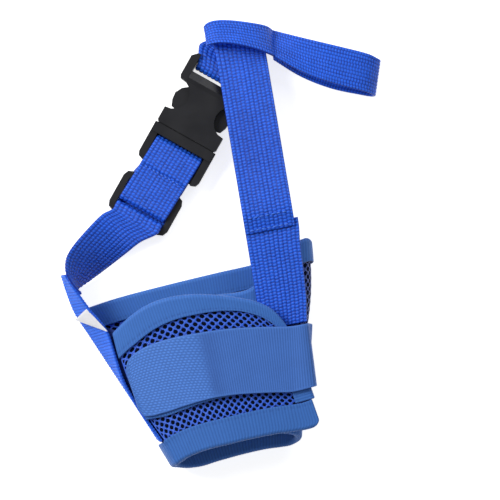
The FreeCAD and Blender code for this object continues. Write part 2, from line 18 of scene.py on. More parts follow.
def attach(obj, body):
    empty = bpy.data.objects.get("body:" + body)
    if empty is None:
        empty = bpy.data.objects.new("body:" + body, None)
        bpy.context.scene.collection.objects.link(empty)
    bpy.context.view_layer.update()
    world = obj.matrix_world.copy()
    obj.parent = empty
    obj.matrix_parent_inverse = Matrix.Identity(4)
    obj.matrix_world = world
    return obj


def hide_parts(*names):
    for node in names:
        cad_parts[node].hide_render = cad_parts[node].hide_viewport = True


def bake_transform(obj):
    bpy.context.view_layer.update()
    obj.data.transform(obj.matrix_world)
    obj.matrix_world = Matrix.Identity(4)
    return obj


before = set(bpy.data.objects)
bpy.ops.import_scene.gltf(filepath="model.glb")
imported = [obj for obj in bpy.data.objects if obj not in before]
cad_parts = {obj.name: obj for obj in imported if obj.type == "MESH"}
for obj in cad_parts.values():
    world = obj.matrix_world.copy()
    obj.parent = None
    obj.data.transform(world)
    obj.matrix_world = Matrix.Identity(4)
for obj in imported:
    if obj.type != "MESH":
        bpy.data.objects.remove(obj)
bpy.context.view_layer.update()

# %% [markdown]
# ## Camera and light
# The muzzle lies on a white table and is seen from straight above. A long lens far
# away keeps the straps' width nearly even. One large soft lamp at the upper left, a
# weaker one at the right and a pale sky light it, so that ribs and folds show.

# %% Camera
MM = 0.001
VIEW_CENTRE = (4.9, -5.9, 9.0)  # what the lens points at
VIEW_WIDTH = 200.0  # millimetres seen across at that height
VIEW_HEIGHT = 1100.0  # how high the lens is above the table
VIEW_UP = Vector((0.196, 0.981, 0.0)).normalized()  # what lies upward in the view
SENSOR = 36.0

lens = bpy.data.cameras.new("camera")
lens.sensor_width = SENSOR
lens.lens = SENSOR * (VIEW_HEIGHT - VIEW_CENTRE[2]) / VIEW_WIDTH
camera = bpy.data.objects.new("camera", lens)
bpy.context.collection.objects.link(camera)
sideways = VIEW_UP.cross(Vector((0, 0, 1))).normalized()
spot = Vector((VIEW_CENTRE[0], VIEW_CENTRE[1], VIEW_HEIGHT)) * MM
camera.matrix_world = Matrix((
    (sideways.x, VIEW_UP.x, 0, spot.x),
    (sideways.y, VIEW_UP.y, 0, spot.y),
    (sideways.z, VIEW_UP.z, 1, spot.z),
    (0, 0, 0, 1),
))
bpy.context.scene.camera = camera
bpy.context.scene.view_settings.view_transform = "Standard"
print("lens", round(lens.lens, 1), "mm")


# %% Colours and nodes
def linear(code):
    """An sRGB hex colour as the linear values that a shader wants."""
    out = []
    for i in (0, 2, 4):
        c = int(code[i:i + 2], 16) / 255
        out.append(c / 12.92 if c <= 0.04045 else ((c + 0.055) / 1.055) ** 2.4)
    return tuple(out) + (1.0,)


def add(tree, kind, links=None, **settings):
    """One shader node. links names what feeds its sockets: an output, or a node for its first one."""
    node = tree.nodes.new("ShaderNode" + kind)
    inputs = settings.pop("inputs", {})
    for key, value in settings.items():
        setattr(node, key, value)
    for key, value in inputs.items():
        node.inputs[key].default_value = value
    for key, source in (links or {}).items():
        output = source.outputs[0] if isinstance(source, bpy.types.Node) else source
        tree.links.new(output, node.inputs[key])
    return node


def new_material(name):
    material = bpy.data.materials.new(name)
    material.use_nodes = True
    material.node_tree.nodes.clear()
    return material, material.node_tree


# %% Light
def lamp(name, size, power, at):
    """A square soft lamp, in metres and watts, that looks at the origin."""
    data = bpy.data.lights.new(name, "AREA")
    data.size = size
    data.energy = power
    light = bpy.data.objects.new(name, data)
    light.location = at
    light.rotation_euler = (-Vector(at)).to_track_quat("-Z", "Y").to_euler()
    bpy.context.collection.objects.link(light)


lamp("soft_box_left", 0.42, 8.0, (-0.62, 0.52, 0.66))
lamp("soft_box_right", 0.5, 2.0, (0.50, 0.58, 0.64))

world = bpy.data.worlds.new("studio")
world.use_nodes = True
bpy.context.scene.world = world
sky = world.node_tree
sky.nodes.clear()
room = add(sky, "Background", inputs={"Color": linear("F4F6FA"), "Strength": 0.30})
seen = add(sky, "Background", inputs={"Color": linear("FFFFFF"), "Strength": 1.0})
ray = add(sky, "LightPath")
pick = add(sky, "MixShader", {0: ray.outputs["Is Camera Ray"], 1: room, 2: seen})
add(sky, "OutputWorld", {0: pick})

# %% [markdown]
# ## The table
# A white table would read as light grey under this light. The camera, mirrors and
# glass see it a little brighter than it is, which takes it to white and leaves the
# object's shadow on it.

# %% Table
TABLE_LIFT = 0.75  # glow that only the camera and reflections see

table_white, tree = new_material("matt_white_laminate")
matt = add(tree, "BsdfDiffuse", inputs={"Color": linear("F6F6F6")})
glow = add(tree, "Emission", inputs={"Color": linear("FFFFFF"), "Strength": TABLE_LIFT})
both = add(tree, "AddShader", {0: matt, 1: glow})
ray = add(tree, "LightPath")
direct = add(tree, "Math", {0: ray.outputs["Is Camera Ray"], 1: ray.outputs["Is Glossy Ray"]}, operation="MAXIMUM")
any_ray = add(tree, "Math", {0: direct, 1: ray.outputs["Is Transmission Ray"]}, operation="MAXIMUM")
mixed = add(tree, "MixShader", {0: any_ray, 1: matt, 2: both})
add(tree, "OutputMaterial", {0: mixed})

bpy.ops.mesh.primitive_plane_add(size=6.0, location=(0, 0, -0.0002))
table = bpy.context.object
table.name = "table"
table.data.materials.append(table_white)

# %% [markdown]
# ## Finishes
# Each cloth mesh carries two things that its material reads: a UV map in millimetres,
# along and across the piece, and a number called relief, 0 in the valleys of the weave
# and 1 on its crests. Yarn in a valley gets little light, so its colour is painted
# darker there as painted shade. Drawing that from the same number as the shape keeps colour and shape in step.


# %% Cloth finish
BAND_SCALE = 0.314  # the wave texture's scale that gives one band per millimetre
CREST_AT = 0.8  # relief from which yarn has its full crest colour


def cloth(name, valley, crest, roughness, sheen, yarn, yarn_depth, tint=0.10, specular=0.35):
    """A woven or knitted finish.

    valley and crest are its colours. yarn is the spacing of its fibres and yarn_depth
    their height, in millimetres. tint is how much its brightness wanders.
    """
    material, tree = new_material(name)
    uv = add(tree, "UVMap", uv_map="cloth")
    relief = add(tree, "Attribute", attribute_name="relief")
    # Painted shade: the weave's valleys take the darker colour.
    ramp = add(tree, "ValToRGB", {0: relief.outputs["Fac"]})
    ramp.color_ramp.elements[0].color = linear(valley)
    ramp.color_ramp.elements[1].color = linear(crest)
    ramp.color_ramp.elements[1].position = CREST_AT
    patches = add(tree, "TexNoise", {"Vector": uv}, inputs={"Scale": 0.16, "Detail": 3.0})
    specks = add(tree, "TexNoise", {"Vector": uv}, inputs={"Scale": 1.4, "Detail": 2.0})
    level = add(tree, "Math", {0: patches.outputs["Fac"], 1: specks.outputs["Fac"]}, operation="ADD")
    bright = add(
        tree, "MapRange", {0: level},
        inputs={"From Min": 0.6, "From Max": 1.4, "To Min": 1 - tint, "To Max": 1 + tint},
    )
    colour = add(tree, "HueSaturation", {"Color": ramp, "Value": bright})
    fibres = add(
        tree, "TexWave", {"Vector": uv}, wave_type="BANDS", bands_direction="Y",
        inputs={"Scale": BAND_SCALE / yarn, "Distortion": 2.0, "Detail": 2.0, "Detail Scale": 1.5},
    )
    bump = add(
        tree, "Bump", {"Height": fibres.outputs["Fac"]},
        inputs={"Strength": 0.6, "Distance": yarn_depth * MM},
    )
    surface = add(
        tree, "BsdfPrincipled", {"Base Color": colour, "Normal": bump},
        inputs={
            "Roughness": roughness, "Sheen Weight": sheen, "Sheen Roughness": 0.4, "Specular IOR Level": specular,
        },
    )
    add(tree, "OutputMaterial", {0: surface})
    return material


# Polypropylene webbing: glossy royal-blue yarn in thick warp ribs.
webbing_finish = cloth("polypropylene_webbing", "06208C", "2A72FF", 0.45, 0.04, 0.45, 0.16, 0.18)
# The standing strap is the same webbing with painted light: brighter colours stand in for the light on its face,
# and it is drawn matt with no sheen.
lit_webbing_finish = cloth(
    "polypropylene_webbing_painted_lit", "0C34B4", "3A7EFF", 0.60, 0.0, 0.45, 0.10, 0.16, specular=0.2
)
# Grosgrain polyester tape: dull, greyer blue, ribs straight across.
tape_finish = cloth("grosgrain_polyester_tape", "26509C", "3F78CC", 0.62, 0.25, 0.40, 0.05, 0.06)
# The seam tape lies deep beside the strap; its darker colours are painted shade for that crevice.
shaded_seam_finish = cloth("polyester_seam_tape_painted_shade", "0E1C48", "1C3780", 0.75, 0.10, 0.40, 0.05, 0.06)
# Hook-and-loop tape: nylon with a fine napped face.
band_finish = cloth("nylon_hook_and_loop", "143A86", "5A94F2", 0.60, 0.20, 0.35, 0.08, 0.06)
# Air mesh: shiny knitted polyester strands over a fine-knitted back, whose near-black colour is painted shade.
mesh_finish = cloth("knitted_air_mesh", "07195C", "3A70EE", 0.34, 0.10, 0.35, 0.16, 0.20, specular=0.5)
shaded_backing_finish = cloth("fine_knit_mesh_backing_painted_shade", "02040C", "060C20", 0.9, 0.0, 0.6, 0.08, specular=0.1)
# Care label: a smooth satin ribbon.
label_finish = cloth("woven_satin_label", "E6E4E6", "FAF9FC", 0.45, 0.10, 0.25, 0.03, 0.03)
# Sewing thread: twisted polyester, a little paler than the webbing so that it shows.
thread_finish = cloth("twisted_polyester_thread", "1E4AC0", "5286F4", 0.40, 0.10, 0.30, 0.05)


# %% Moulded plastic
PEBBLES = 2600.0  # per metre: the mould's grain is about 0.4 mm
RUBS = 120.0  # per metre: rubbed places are about 8 mm


def moulded(name, colour, roughness):
    """Acetal as it leaves the mould: faintly pebbled, with rubbed places a little shinier."""
    material, tree = new_material(name)
    place = add(tree, "TexCoord")
    place = place.outputs["Object"]
    pebbles = add(tree, "TexNoise", {"Vector": place}, inputs={"Scale": PEBBLES, "Detail": 2.0})
    rubs = add(tree, "TexNoise", {"Vector": place}, inputs={"Scale": RUBS, "Detail": 4.0})
    rough = add(
        tree, "MapRange", {0: rubs.outputs["Fac"]},
        inputs={"From Min": 0.3, "From Max": 0.7, "To Min": roughness - 0.07, "To Max": roughness + 0.09},
    )
    bump = add(tree, "Bump", {"Height": pebbles.outputs["Fac"]}, inputs={"Strength": 0.25, "Distance": 0.08 * MM})
    surface = add(
        tree, "BsdfPrincipled", {"Roughness": rough, "Normal": bump},
        inputs={"Base Color": linear(colour), "Specular IOR Level": 0.42},
    )
    add(tree, "OutputMaterial", {0: surface})
    return material


plastic_finish = moulded("moulded_black_acetal", "1E1E22", 0.42)

# %% [markdown]
# ## Cloth as a grid
# Webbing, tape and mesh all start as a grid of points on the cloth's middle surface:
# rows run along the piece and columns across it. Thickening the grid both ways gives a
# closed slab, thin at its edges, and the weave is added to its height. A solidify
# modifier could thicken it too, but then both faces would share one relief and the
# edges would be square.

# %% Curves through points
SHIFT = np.array((-6.490, -1.470, 0.011))  # from the muzzle's own datum to the box's origin


def glide(points, params, at):
    """Smooth curve through points at rising params, read at other params."""
    points, params, at = (np.asarray(values, float) for values in (points, params, at))
    slopes = np.empty_like(points)
    slopes[1:-1] = (points[2:] - points[:-2]) / (params[2:] - params[:-2])[:, None]
    slopes[0] = (points[1] - points[0]) / (params[1] - params[0])
    slopes[-1] = (points[-1] - points[-2]) / (params[-1] - params[-2])
    i = np.clip(np.searchsorted(params, at, side="right") - 1, 0, len(params) - 2)
    gap = (params[i + 1] - params[i])[:, None]
    f = (at - params[i])[:, None] / gap
    return (
        (2 * f**3 - 3 * f**2 + 1) * points[i] + (f**3 - 2 * f**2 + f) * gap * slopes[i]
        + (3 * f**2 - 2 * f**3) * points[i + 1] + (f**3 - f**2) * gap * slopes[i + 1]
    )


def spread(length, step, lip=(0.0, 0.1, 0.28, 0.5)):
    """Places from 0 to length, close together at both ends so that the edge is round."""
    count = max(2, round((length - 2 * lip[-1]) / step))
    inner = np.linspace(lip[-1], length - lip[-1], count + 1)
    return np.concatenate((lip[:-1], inner, length - np.array(lip[:-1])[::-1]))


def chords(points):
    """Distance along a line of points, from its first point."""
    steps = np.linalg.norm(np.diff(points, axis=0), axis=1)
    return np.concatenate(([0.0], np.cumsum(steps)))


def ribbon_grid(pairs, step=0.3, columns=0.3):
    """Grid over a ribbon given by pairs of edge points."""
    a = np.array([p[0] for p in pairs], float)
    b = np.array([p[1] for p in pairs], float)
    params = chords((a + b) / 2)
    at = spread(params[-1], step)
    left, right_side = glide(a, params, at), glide(b, params, at)
    width = np.linalg.norm(b - a, axis=1).max()
    share = spread(width, columns) / width
    return left[:, None] + (right_side - left)[:, None] * share[None, :, None]


# %% Pieces
def grid_normals(grid):
    """Unit normals of a grid of points."""
    along, across = np.gradient(grid, axis=0), np.gradient(grid, axis=1)
    n = np.cross(along, across)
    return n / np.linalg.norm(n, axis=2, keepdims=True)


def new_piece(name, verts, faces):
    """An object from points in millimetres, in the muzzle's own datum."""
    mesh = bpy.data.meshes.new(name)
    mesh.from_pydata(((np.asarray(verts) + SHIFT) * MM).tolist(), [], faces)
    piece = bpy.data.objects.new(name, mesh)
    bpy.context.collection.objects.link(piece)
    return piece


def dress(mesh, finish, uvs, relief):
    """Gives a cloth mesh what its finish reads, smooth shading and the finish itself."""
    loops = np.empty(len(mesh.loops), np.int32)
    mesh.loops.foreach_get("vertex_index", loops)
    layer = mesh.uv_layers.new(name="cloth")
    layer.data.foreach_set("uv", uvs[loops].astype(np.float32).ravel())
    values = mesh.attributes.new("relief", "FLOAT", "POINT")
    values.data.foreach_set("value", relief.astype(np.float32))
    mesh.polygons.foreach_set("use_smooth", np.ones(len(mesh.polygons), bool))
    mesh.materials.append(finish)


# %% Slab from a grid
EVEN = 0.7  # relief of cloth that has no weave of its own
SELVEDGE = 0.25  # millimetres of every edge that are drawn darker
EDGE_LIGHT = 0.35  # how much of its relief the very edge keeps


def slab(name, grid, thick, finish, weave=None, lip=0.5, start=0.0, painted_shade_map=None):
    """A closed cloth solid round a grid.

    weave(along, across) gives relief from 0 to 1 and its depth, lip is how far in from
    its edges the solid is rounded, start is where its weave begins, and the last argument
    darkens its colour with painted shade.
    """
    rows, cols = grid.shape[:2]
    normals = grid_normals(grid)
    along = chords(grid[:, cols // 2])
    across = chords(grid[rows // 2])
    u, v = np.meshgrid(along, across, indexing="ij")
    edge = np.minimum(np.minimum(u, along[-1] - u), np.minimum(v, across[-1] - v))
    near = 1 - np.clip(edge / lip, 0, 1)
    shape = np.sqrt(np.clip(1 - near**2, 0, 1))
    if weave:
        level, depth = weave(u + start, v)
    else:
        level, depth = np.full_like(u, EVEN), 0.0
    height = (thick / 2 + (level - 1) * depth) * shape
    front = grid + normals * height[..., None]
    back = grid - normals * height[..., None]
    index = np.arange(rows * cols).reshape(rows, cols)
    inside = np.zeros((rows, cols), bool)
    inside[1:-1, 1:-1] = True
    back_index = index.copy()
    back_index[inside] = rows * cols + np.arange(inside.sum())
    verts = np.concatenate((front.reshape(-1, 3), back[inside]))
    a, b, c, d = index[:-1, :-1], index[:-1, 1:], index[1:, 1:], index[1:, :-1]
    top = np.stack((a, d, c, b), -1).reshape(-1, 4)
    a, b, c, d = back_index[:-1, :-1], back_index[:-1, 1:], back_index[1:, 1:], back_index[1:, :-1]
    bottom = np.stack((a, b, c, d), -1).reshape(-1, 4)
    uvs = np.stack((u + start, v), -1)
    uvs = np.concatenate((uvs.reshape(-1, 2), uvs[inside]))
    dark = level * (EDGE_LIGHT + (1 - EDGE_LIGHT) * np.clip(edge / SELVEDGE, 0, 1))
    # Painted shade: the darkening function lowers the colour's relief.
    if painted_shade_map:
        dark = dark * painted_shade_map(u, v)
    relief = np.concatenate((dark.ravel(), dark[inside]))
    piece = new_piece(name, verts, np.concatenate((top, bottom)).tolist())
    dress(piece.data, finish, uvs, relief)
    print(name, rows, "x", cols, "points,", round(along[-1], 1), "x", round(across[-1], 1), "mm")
    return piece


# %% Weaves
WARP = 1.72  # millimetres between the webbing's warp ribs
PICK = 1.28  # millimetres between its crossing yarns
STAGGER = 0.22  # how far each column of bumps is shifted from the next, in steps


def plain_weave(u, v, warp, pick, depth, stagger=STAGGER, rib=(0.85, 2.2), crossing=(0.95, 2.4)):
    """Bumps in columns: each rib passes over a crossing yarn and dips under the next.

    rib and crossing say how deep the gaps between ribs and between yarns are, and how sharp.
    """
    column = np.floor(v / warp)
    x = (v / warp - column - 0.5) * 2
    sway = 0.10 * np.sin(u / 7.0 + column) if stagger else 0.0  # no loom is quite even
    row = u / pick + stagger * (column % 2) + sway
    y = (row - np.floor(row) - 0.5) * 2
    crest = (1 - rib[0] * np.abs(x) ** rib[1]) * (1 - crossing[0] * np.abs(y) ** crossing[1])
    return np.clip(crest, 0, 1), depth


def webbing_weave(u, v):
    """The 20 mm webbing."""
    return plain_weave(u, v, WARP, PICK, 0.36)


def standing_weave(u, v):
    """On the standing strap the crossing yarns show more than the ribs do."""
    return plain_weave(u, v, WARP, PICK, 0.34, 0.0, (0.30, 2), (0.8, 2.4))


def fine_weave(u, v):
    """The lighter webbing of the collar's loop has finer ribs."""
    return plain_weave(u, v, 1.4, 1.2, 0.28)


RIB = 1.15  # millimetres between the tape's ribs
STITCH = 2.6  # length of one seam stitch


def tape_weave(u, v):
    """Grosgrain: round ribs straight across the tape."""
    wave = 0.5 + 0.5 * np.cos(2 * np.pi * u / RIB)
    return 0.45 + 0.55 * wave, 0.16


# %% [markdown]
# ## The tube
# Each mesh panel is a fan: straight lines run from its head edge to its nose edge.
# The back panel lies on the table, climbs the right wall and folds over the top.
# The flap is hinged on the left seam and arches over the tube.

# %% Panel outlines
TUBE_TOP = 19.4
MESH = 1.4  # thickness of the air mesh
TAPE = 0.8  # one layer of tape
TAPE_HALF = (MESH + TAPE) / 2 + 0.05  # from a panel's middle to the middle of the tape folded over it
WALL = 18.0  # height of the left wall
FLOOR = TAPE  # the panel lies on its tape
RISE = 8.0  # how far the flap arches
ARCH_END = 24.0  # where the arch ends at the right
SINK = 0.22  # how much of the arch is lost from its middle to its end
NOSE_LOSS = 0.25  # how much flatter it is at the nose
BULGE_WIDTH = 9.0  # how far along a panel's edge a bulge reaches
FINE = 0.26  # millimetres between a tape's grid points, four or more to a rib

PANEL_HEAD = [
    (-58.8, -15.0, 0), (-44, -13.2, 0), (-24, -12, 0), (-4, -11.2, 0), (14, -10.6, 0), (26, -8.6, 0),
    (31.5, -7.0, 0.10), (34.8, -6.0, 0.30), (35.6, -5.2, 0.55), (34.4, -4.6, 0.80), (30.6, -5.4, 0.95),
    (25, -9.5, 1), (16.5, -16, 1), (7, -20, 1), (-5.5, -19.6, 1),
]
PANEL_NOSE = [
    (-33.4, -83.0, 0), (-27, -85.6, 0), (-17, -84.9, 0), (-7, -84.2, 0), (2, -84.0, 0), (8.4, -84.4, 0),
    (12.2, -84.4, 0.10), (15.2, -83.4, 0.30), (16.2, -82.0, 0.55), (15.4, -80.4, 0.76), (12.8, -79.0, 0.88),
    (9.0, -78.0, 0.92), (4.0, -77.4, 0.92), (-2, -77.0, 0.92), (-9, -76.8, 0.92),
]
FLAP_HEAD = [
    (-48.0, -26.2), (-41.4, -21.9), (-33.6, -18.3), (-25.4, -16.8), (-15.5, -17.2), (-5.4, -19.4),
    (3.0, -22.2), (9.3, -24.9), (14.2, -28.4), (17.0, -32.0), (19.4, -36.6),
]
FLAP_NOSE = [
    (-33.4, -82.0), (-29.6, -80.2), (-23.6, -78.7), (-17.6, -78.0), (-11.0, -77.7), (-4.4, -77.4),
    (2.4, -77.3), (8.6, -77.4), (14.2, -77.8), (19.8, -78.0), (25.2, -77.4),
]


def flap_height(x, y):
    """Lower face of the flap's mesh above a point in plan."""
    v = (FLAP_HEAD[0][1] - y) / (FLAP_HEAD[0][1] - FLAP_NOSE[0][1])
    left = FLAP_HEAD[0][0] + (FLAP_NOSE[0][0] - FLAP_HEAD[0][0]) * v
    u = max(0.0, min(1.0, (x - left) / (ARCH_END - left)))
    arch = math.sin(math.pi * min(u, 0.5)) - (SINK * (1 - math.cos(math.pi * (u - 0.5))) if u > 0.5 else 0)
    return WALL - MESH + RISE * arch * (1 - NOSE_LOSS * max(0.0, min(1.0, v)))


# %% A panel as a fan
def fold_path(width):
    """A tape's path round an edge as (inward, up): in over the top, round the fold, back below."""
    flat = width - spread(width - TAPE_HALF, 0.5)[:-1]
    turn = np.linspace(0, math.pi, 9)
    path = [(s, TAPE_HALF) for s in flat]
    path += [(TAPE_HALF - TAPE_HALF * math.sin(a), TAPE_HALF * math.cos(a)) for a in turn]
    return path + [(s, -TAPE_HALF) for s in flat[::-1]]


class Fan:
    """A panel between a head edge and a nose edge.

    flip turns its normals up. Near the head edge's point number at it swells along x by
    bulge, over reach of the way to the nose.
    """

    def __init__(self, head, nose, flip, bulge=0.0, at=0, reach=0.55):
        self.head, self.nose = np.array(head, float), np.array(nose, float)
        self.params = chords((self.head + self.nose) / 2)
        self.flip = flip
        self.bulge, self.at, self.reach = bulge, at, reach
        self.length = self.params[-1]

    def surface(self, along, share, lift):
        """Points on the panel. share runs from 0 at the head edge to 1 at the nose, lift is up."""
        head, nose = glide(self.head, self.params, along), glide(self.nose, self.params, along)
        share = np.asarray(share, float)
        grid = head[:, None] + (nose - head)[:, None] * share[None, :, None]
        grid[..., 0] += self.swell(np.asarray(along)[:, None], share[None])
        tangent = np.gradient(grid, axis=0)
        fan = (nose - head)[:, None] + np.zeros_like(grid)
        n = np.cross(tangent, fan)
        n = n / np.linalg.norm(n, axis=2, keepdims=True) * self.flip
        return grid + n * lift, n

    def swell(self, along, share):
        """How far the panel is pushed along x."""
        near = np.exp(-((along - self.params[self.at]) / BULGE_WIDTH) ** 2)
        return self.bulge * near * np.sin(np.pi * np.clip(share / self.reach, 0, 1))

    def spans(self, along):
        """Points on the head edge and on the nose edge, and the distance between them."""
        head, nose = glide(self.head, self.params, along), glide(self.nose, self.params, along)
        return head, nose, np.linalg.norm(nose - head, axis=1)

    def tape_grid(self, width, side, shares=((0, 1), (1, 1)), corner=0.0):
        """Middle surface of the tape folded round the head edge (side 1) or the nose edge (side -1).

        shares gives the tape's width at places along it, as parts of the whole. corner is
        the radius that its far end is rounded with, at the fold.
        """
        along = spread(self.length, FINE)
        part = np.interp(along / self.length, *np.transpose(shares))[:, None]
        rows = []
        for s, h in fold_path(width):
            cut = corner - math.sqrt(corner**2 - max(0.0, corner - s) ** 2)
            at = along * (1 - cut / self.length)
            head, nose, span = self.spans(at)
            n = self.surface(at, [0.0], 0.0)[1][:, 0]
            inward = (nose - head) / span[:, None] * side
            deep = min(s, TAPE_HALF) + max(s - TAPE_HALF, 0) * part
            row = (head if side > 0 else nose) + inward * deep + n * (h + MESH / 2)
            share = deep[:, 0] / span if side > 0 else 1 - deep[:, 0] / span
            row[:, 0] += self.swell(at, share)
            rows.append(row)
        return np.stack(rows, axis=1)


# %% The two panels
lift = TUBE_TOP - MESH - FLOOR
back_fan = Fan(
    [(x, y, FLOOR + share * lift) for x, y, share in PANEL_HEAD],
    [(x, y, FLOOR + share * lift) for x, y, share in PANEL_NOSE],
    -1, bulge=2.0, at=8,
)
flap_fan = Fan(
    [(x, y, flap_height(x, y)) for x, y in FLAP_HEAD],
    [(x, y, flap_height(x, y)) for x, y in FLAP_NOSE],
    -1, bulge=-3.4, reach=0.86,
)
print("back panel is", round(back_fan.length), "mm round, the flap", round(flap_fan.length), "mm wide")

# %% [markdown]
# ## Air mesh
# The real fabric is a knitted lattice of shiny strands over a fine knit, which is
# drawn near-black here as painted shade. The lattice could be a bump, but its holes
# are millimetres wide and would look painted on. So every strand is real: a net of
# diamonds gets a wireframe modifier, which turns each edge into a bar, and a subdivision rounds the bars.

# %% Strands
DIAMOND = 2.9  # millimetres from corner to corner of one hole
STRAND = 1.08  # width of one strand
INSET = 2.4  # how far under the tapes the lattice ends, from the head and nose edges
MARGIN = 0.6  # the same at the two other edges
STRAND_SHADE = 0.9  # how fast a strand darkens from its crown to its root


def settled(piece):
    """The piece's mesh with its modifiers made permanent."""
    mesh = bpy.data.meshes.new_from_object(piece.evaluated_get(bpy.context.evaluated_depsgraph_get()))
    piece.modifiers.clear()
    old = piece.data
    piece.data = mesh
    bpy.data.meshes.remove(old)
    return mesh


def strand_light(fan, points):
    """1 on a strand's crown and 0 at its root, where it meets the backing."""
    grid, normals = fan.surface(np.linspace(0, fan.length, 200), np.linspace(0, 1, 90), MESH / 2)
    grid, normals = grid.reshape(-1, 3), (normals + np.zeros_like(grid)).reshape(-1, 3)
    tree = KDTree(len(grid))
    for i, p in enumerate(grid.tolist()):
        tree.insert(p, i)
    tree.balance()
    near = np.array([tree.find(p)[1] for p in points.tolist()])
    height = ((points - grid[near]) * normals[near]).sum(axis=1)
    return np.clip(0.5 + height / STRAND * STRAND_SHADE, 0, 1)


# %% Air mesh panels
def lattice(name, grid):
    """Bars along the edges of diamonds, whose corners are every other point of a grid."""
    spots = [(i, j) for i in range(grid.shape[0]) for j in range(grid.shape[1])]
    corners = [spot for spot in spots if sum(spot) % 2 == 0]
    number = {spot: k for k, spot in enumerate(corners)}
    faces = []
    for i, j in (spot for spot in spots if sum(spot) % 2):
        ring = [number[p] for p in ((i - 1, j), (i, j - 1), (i + 1, j), (i, j + 1)) if p in number]
        if len(ring) > 2:
            faces.append(ring)
    piece = new_piece(name, [grid[spot] for spot in corners], faces)
    bars = piece.modifiers.new("strands", "WIREFRAME")
    bars.thickness = STRAND * MM
    bars.use_even_offset = False
    bars.use_boundary = True
    smooth = piece.modifiers.new("round", "SUBSURF")
    smooth.levels = smooth.render_levels = 1
    return piece


def air_mesh(name, fan):
    """The lattice of one panel, and the fine knit behind it."""
    span = fan.spans(np.linspace(0, fan.length, 40))[2].mean()
    columns = 2 * round((fan.length - 2) / DIAMOND)
    rows = 2 * round((span - 2 * INSET) / DIAMOND)
    shares = INSET / span, 1 - INSET / span
    along = np.linspace(MARGIN, fan.length - MARGIN, columns + 1)
    piece = lattice(name, fan.surface(along, np.linspace(*shares, rows + 1), MESH / 2)[0])
    mesh = settled(piece)
    points = np.empty(len(mesh.vertices) * 3, np.float32)
    mesh.vertices.foreach_get("co", points)
    points = points.reshape(-1, 3) / MM
    dress(mesh, mesh_finish, points[:, :2], strand_light(fan, points - SHIFT))
    along = np.linspace(0.4, fan.length - 0.4, 160)
    knit = fan.surface(along, np.linspace(*shares, 60), MESH / 2)[0]
    print(name, columns * rows // 2, "diamonds,", len(mesh.polygons), "faces")
    # The backing's near-black colour is painted shade.
    return piece, slab(name + "_backing", knit, 0.4, shaded_backing_finish)


back_mesh, back_backing = air_mesh("back_panel_lattice", back_fan)
flap_mesh, flap_backing = air_mesh("flap_lattice", flap_fan)

# %% [markdown]
# ## Binding tape
# Every cut edge of mesh is folded into grosgrain tape and sewn. The tape is one strip
# bent to a U, so its grid runs along the edge and its columns go in over the top face,
# round the fold and back underneath. Its ribs cross the edge.

# %% Bindings
HEAD_TAPE, FLAP_TAPE, NOSE_TAPE, EDGE_TAPE = 9.0, 10.6, 10.5, 7.6  # how far in each tape reaches
SEAM_IN = 1.3  # the seam's distance from the tape's inner edge


def seam_tape(u, v):
    """Grosgrain ribs, with a sewn line near each inner edge of the tape."""
    level, depth = tape_weave(u, v)
    width = v.max()
    for line in (SEAM_IN, width - SEAM_IN):
        dip = np.exp(-((v - line) / 0.32) ** 2)
        thread = 0.5 + 0.5 * np.cos(2 * np.pi * u / STITCH)
        level = level * (1 - dip * (0.55 - 0.45 * thread))
    return level, depth


def binding(name, grid):
    """A sewn tape from its grid."""
    return slab(name, grid, TAPE, tape_finish, seam_tape, 0.3)


NARROWING = (
    (0, 1), (0.1, 1), (0.3, 0.86), (0.45, 0.72), (0.58, 0.52), (0.68, 0.42), (0.8, 0.46), (0.9, 0.55), (1, 0.6),
)
head_tape = binding("head_edge_tape", back_fan.tape_grid(HEAD_TAPE, 1))
nose_tape_back = binding("nose_edge_tape_back", back_fan.tape_grid(NOSE_TAPE, -1))
flap_tape = binding("flap_head_tape", flap_fan.tape_grid(FLAP_TAPE, 1, NARROWING))
nose_tape_front = binding("flap_nose_tape", flap_fan.tape_grid(NOSE_TAPE, -1, corner=2.6))

# %% Tape on the flap's free edge
CORNER_GAP = 8.2  # where the free edge's tape begins, past the head edge's tape
NOSE_GAP = 0.7  # how far before the nose tape it ends
SLANT, SLANT_OVER = 0.6, 10.0  # its outer side is longer, to meet the nose tape's slanting edge
PROUD = 1.0  # how far its fold stands out past the mesh

head_end, nose_end = flap_fan.head[-1], flap_fan.nose[-1]
span = np.linalg.norm(nose_end - head_end)
run = (nose_end - head_end) / span
before = (flap_fan.head[-2] + flap_fan.nose[-2]) / 2 - (head_end + nose_end) / 2
inward = before - run * before.dot(run)
inward /= np.linalg.norm(inward)
edge_up = np.cross(run, inward)
edge_up = edge_up if edge_up[2] > 0 else -edge_up
stations = CORNER_GAP + spread(span - CORNER_GAP - NOSE_TAPE - NOSE_GAP, FINE)
longer = SLANT * np.clip((stations - stations[-1]) / SLANT_OVER + 1, 0, 1)
edge_grid = np.array([
    [
        head_end + run * (s + more * (1 - a / EDGE_TAPE)) + inward * (a - PROUD) + edge_up * (b + MESH / 2)
        for a, b in fold_path(EDGE_TAPE)
    ]
    for s, more in zip(stations, longer)
])
edge_tape = binding("flap_edge_tape", edge_grid)

# %% [markdown]
# ## Closing band
# The band is 25 mm hook-and-loop tape. It is sewn across the flap and runs round its
# free edge onto the right wall. Its left part shows the loops' knit as short dashes in
# slanting rows, then comes a zone of fine ribs painted darker as painted shade, and the right part has fine ribs.

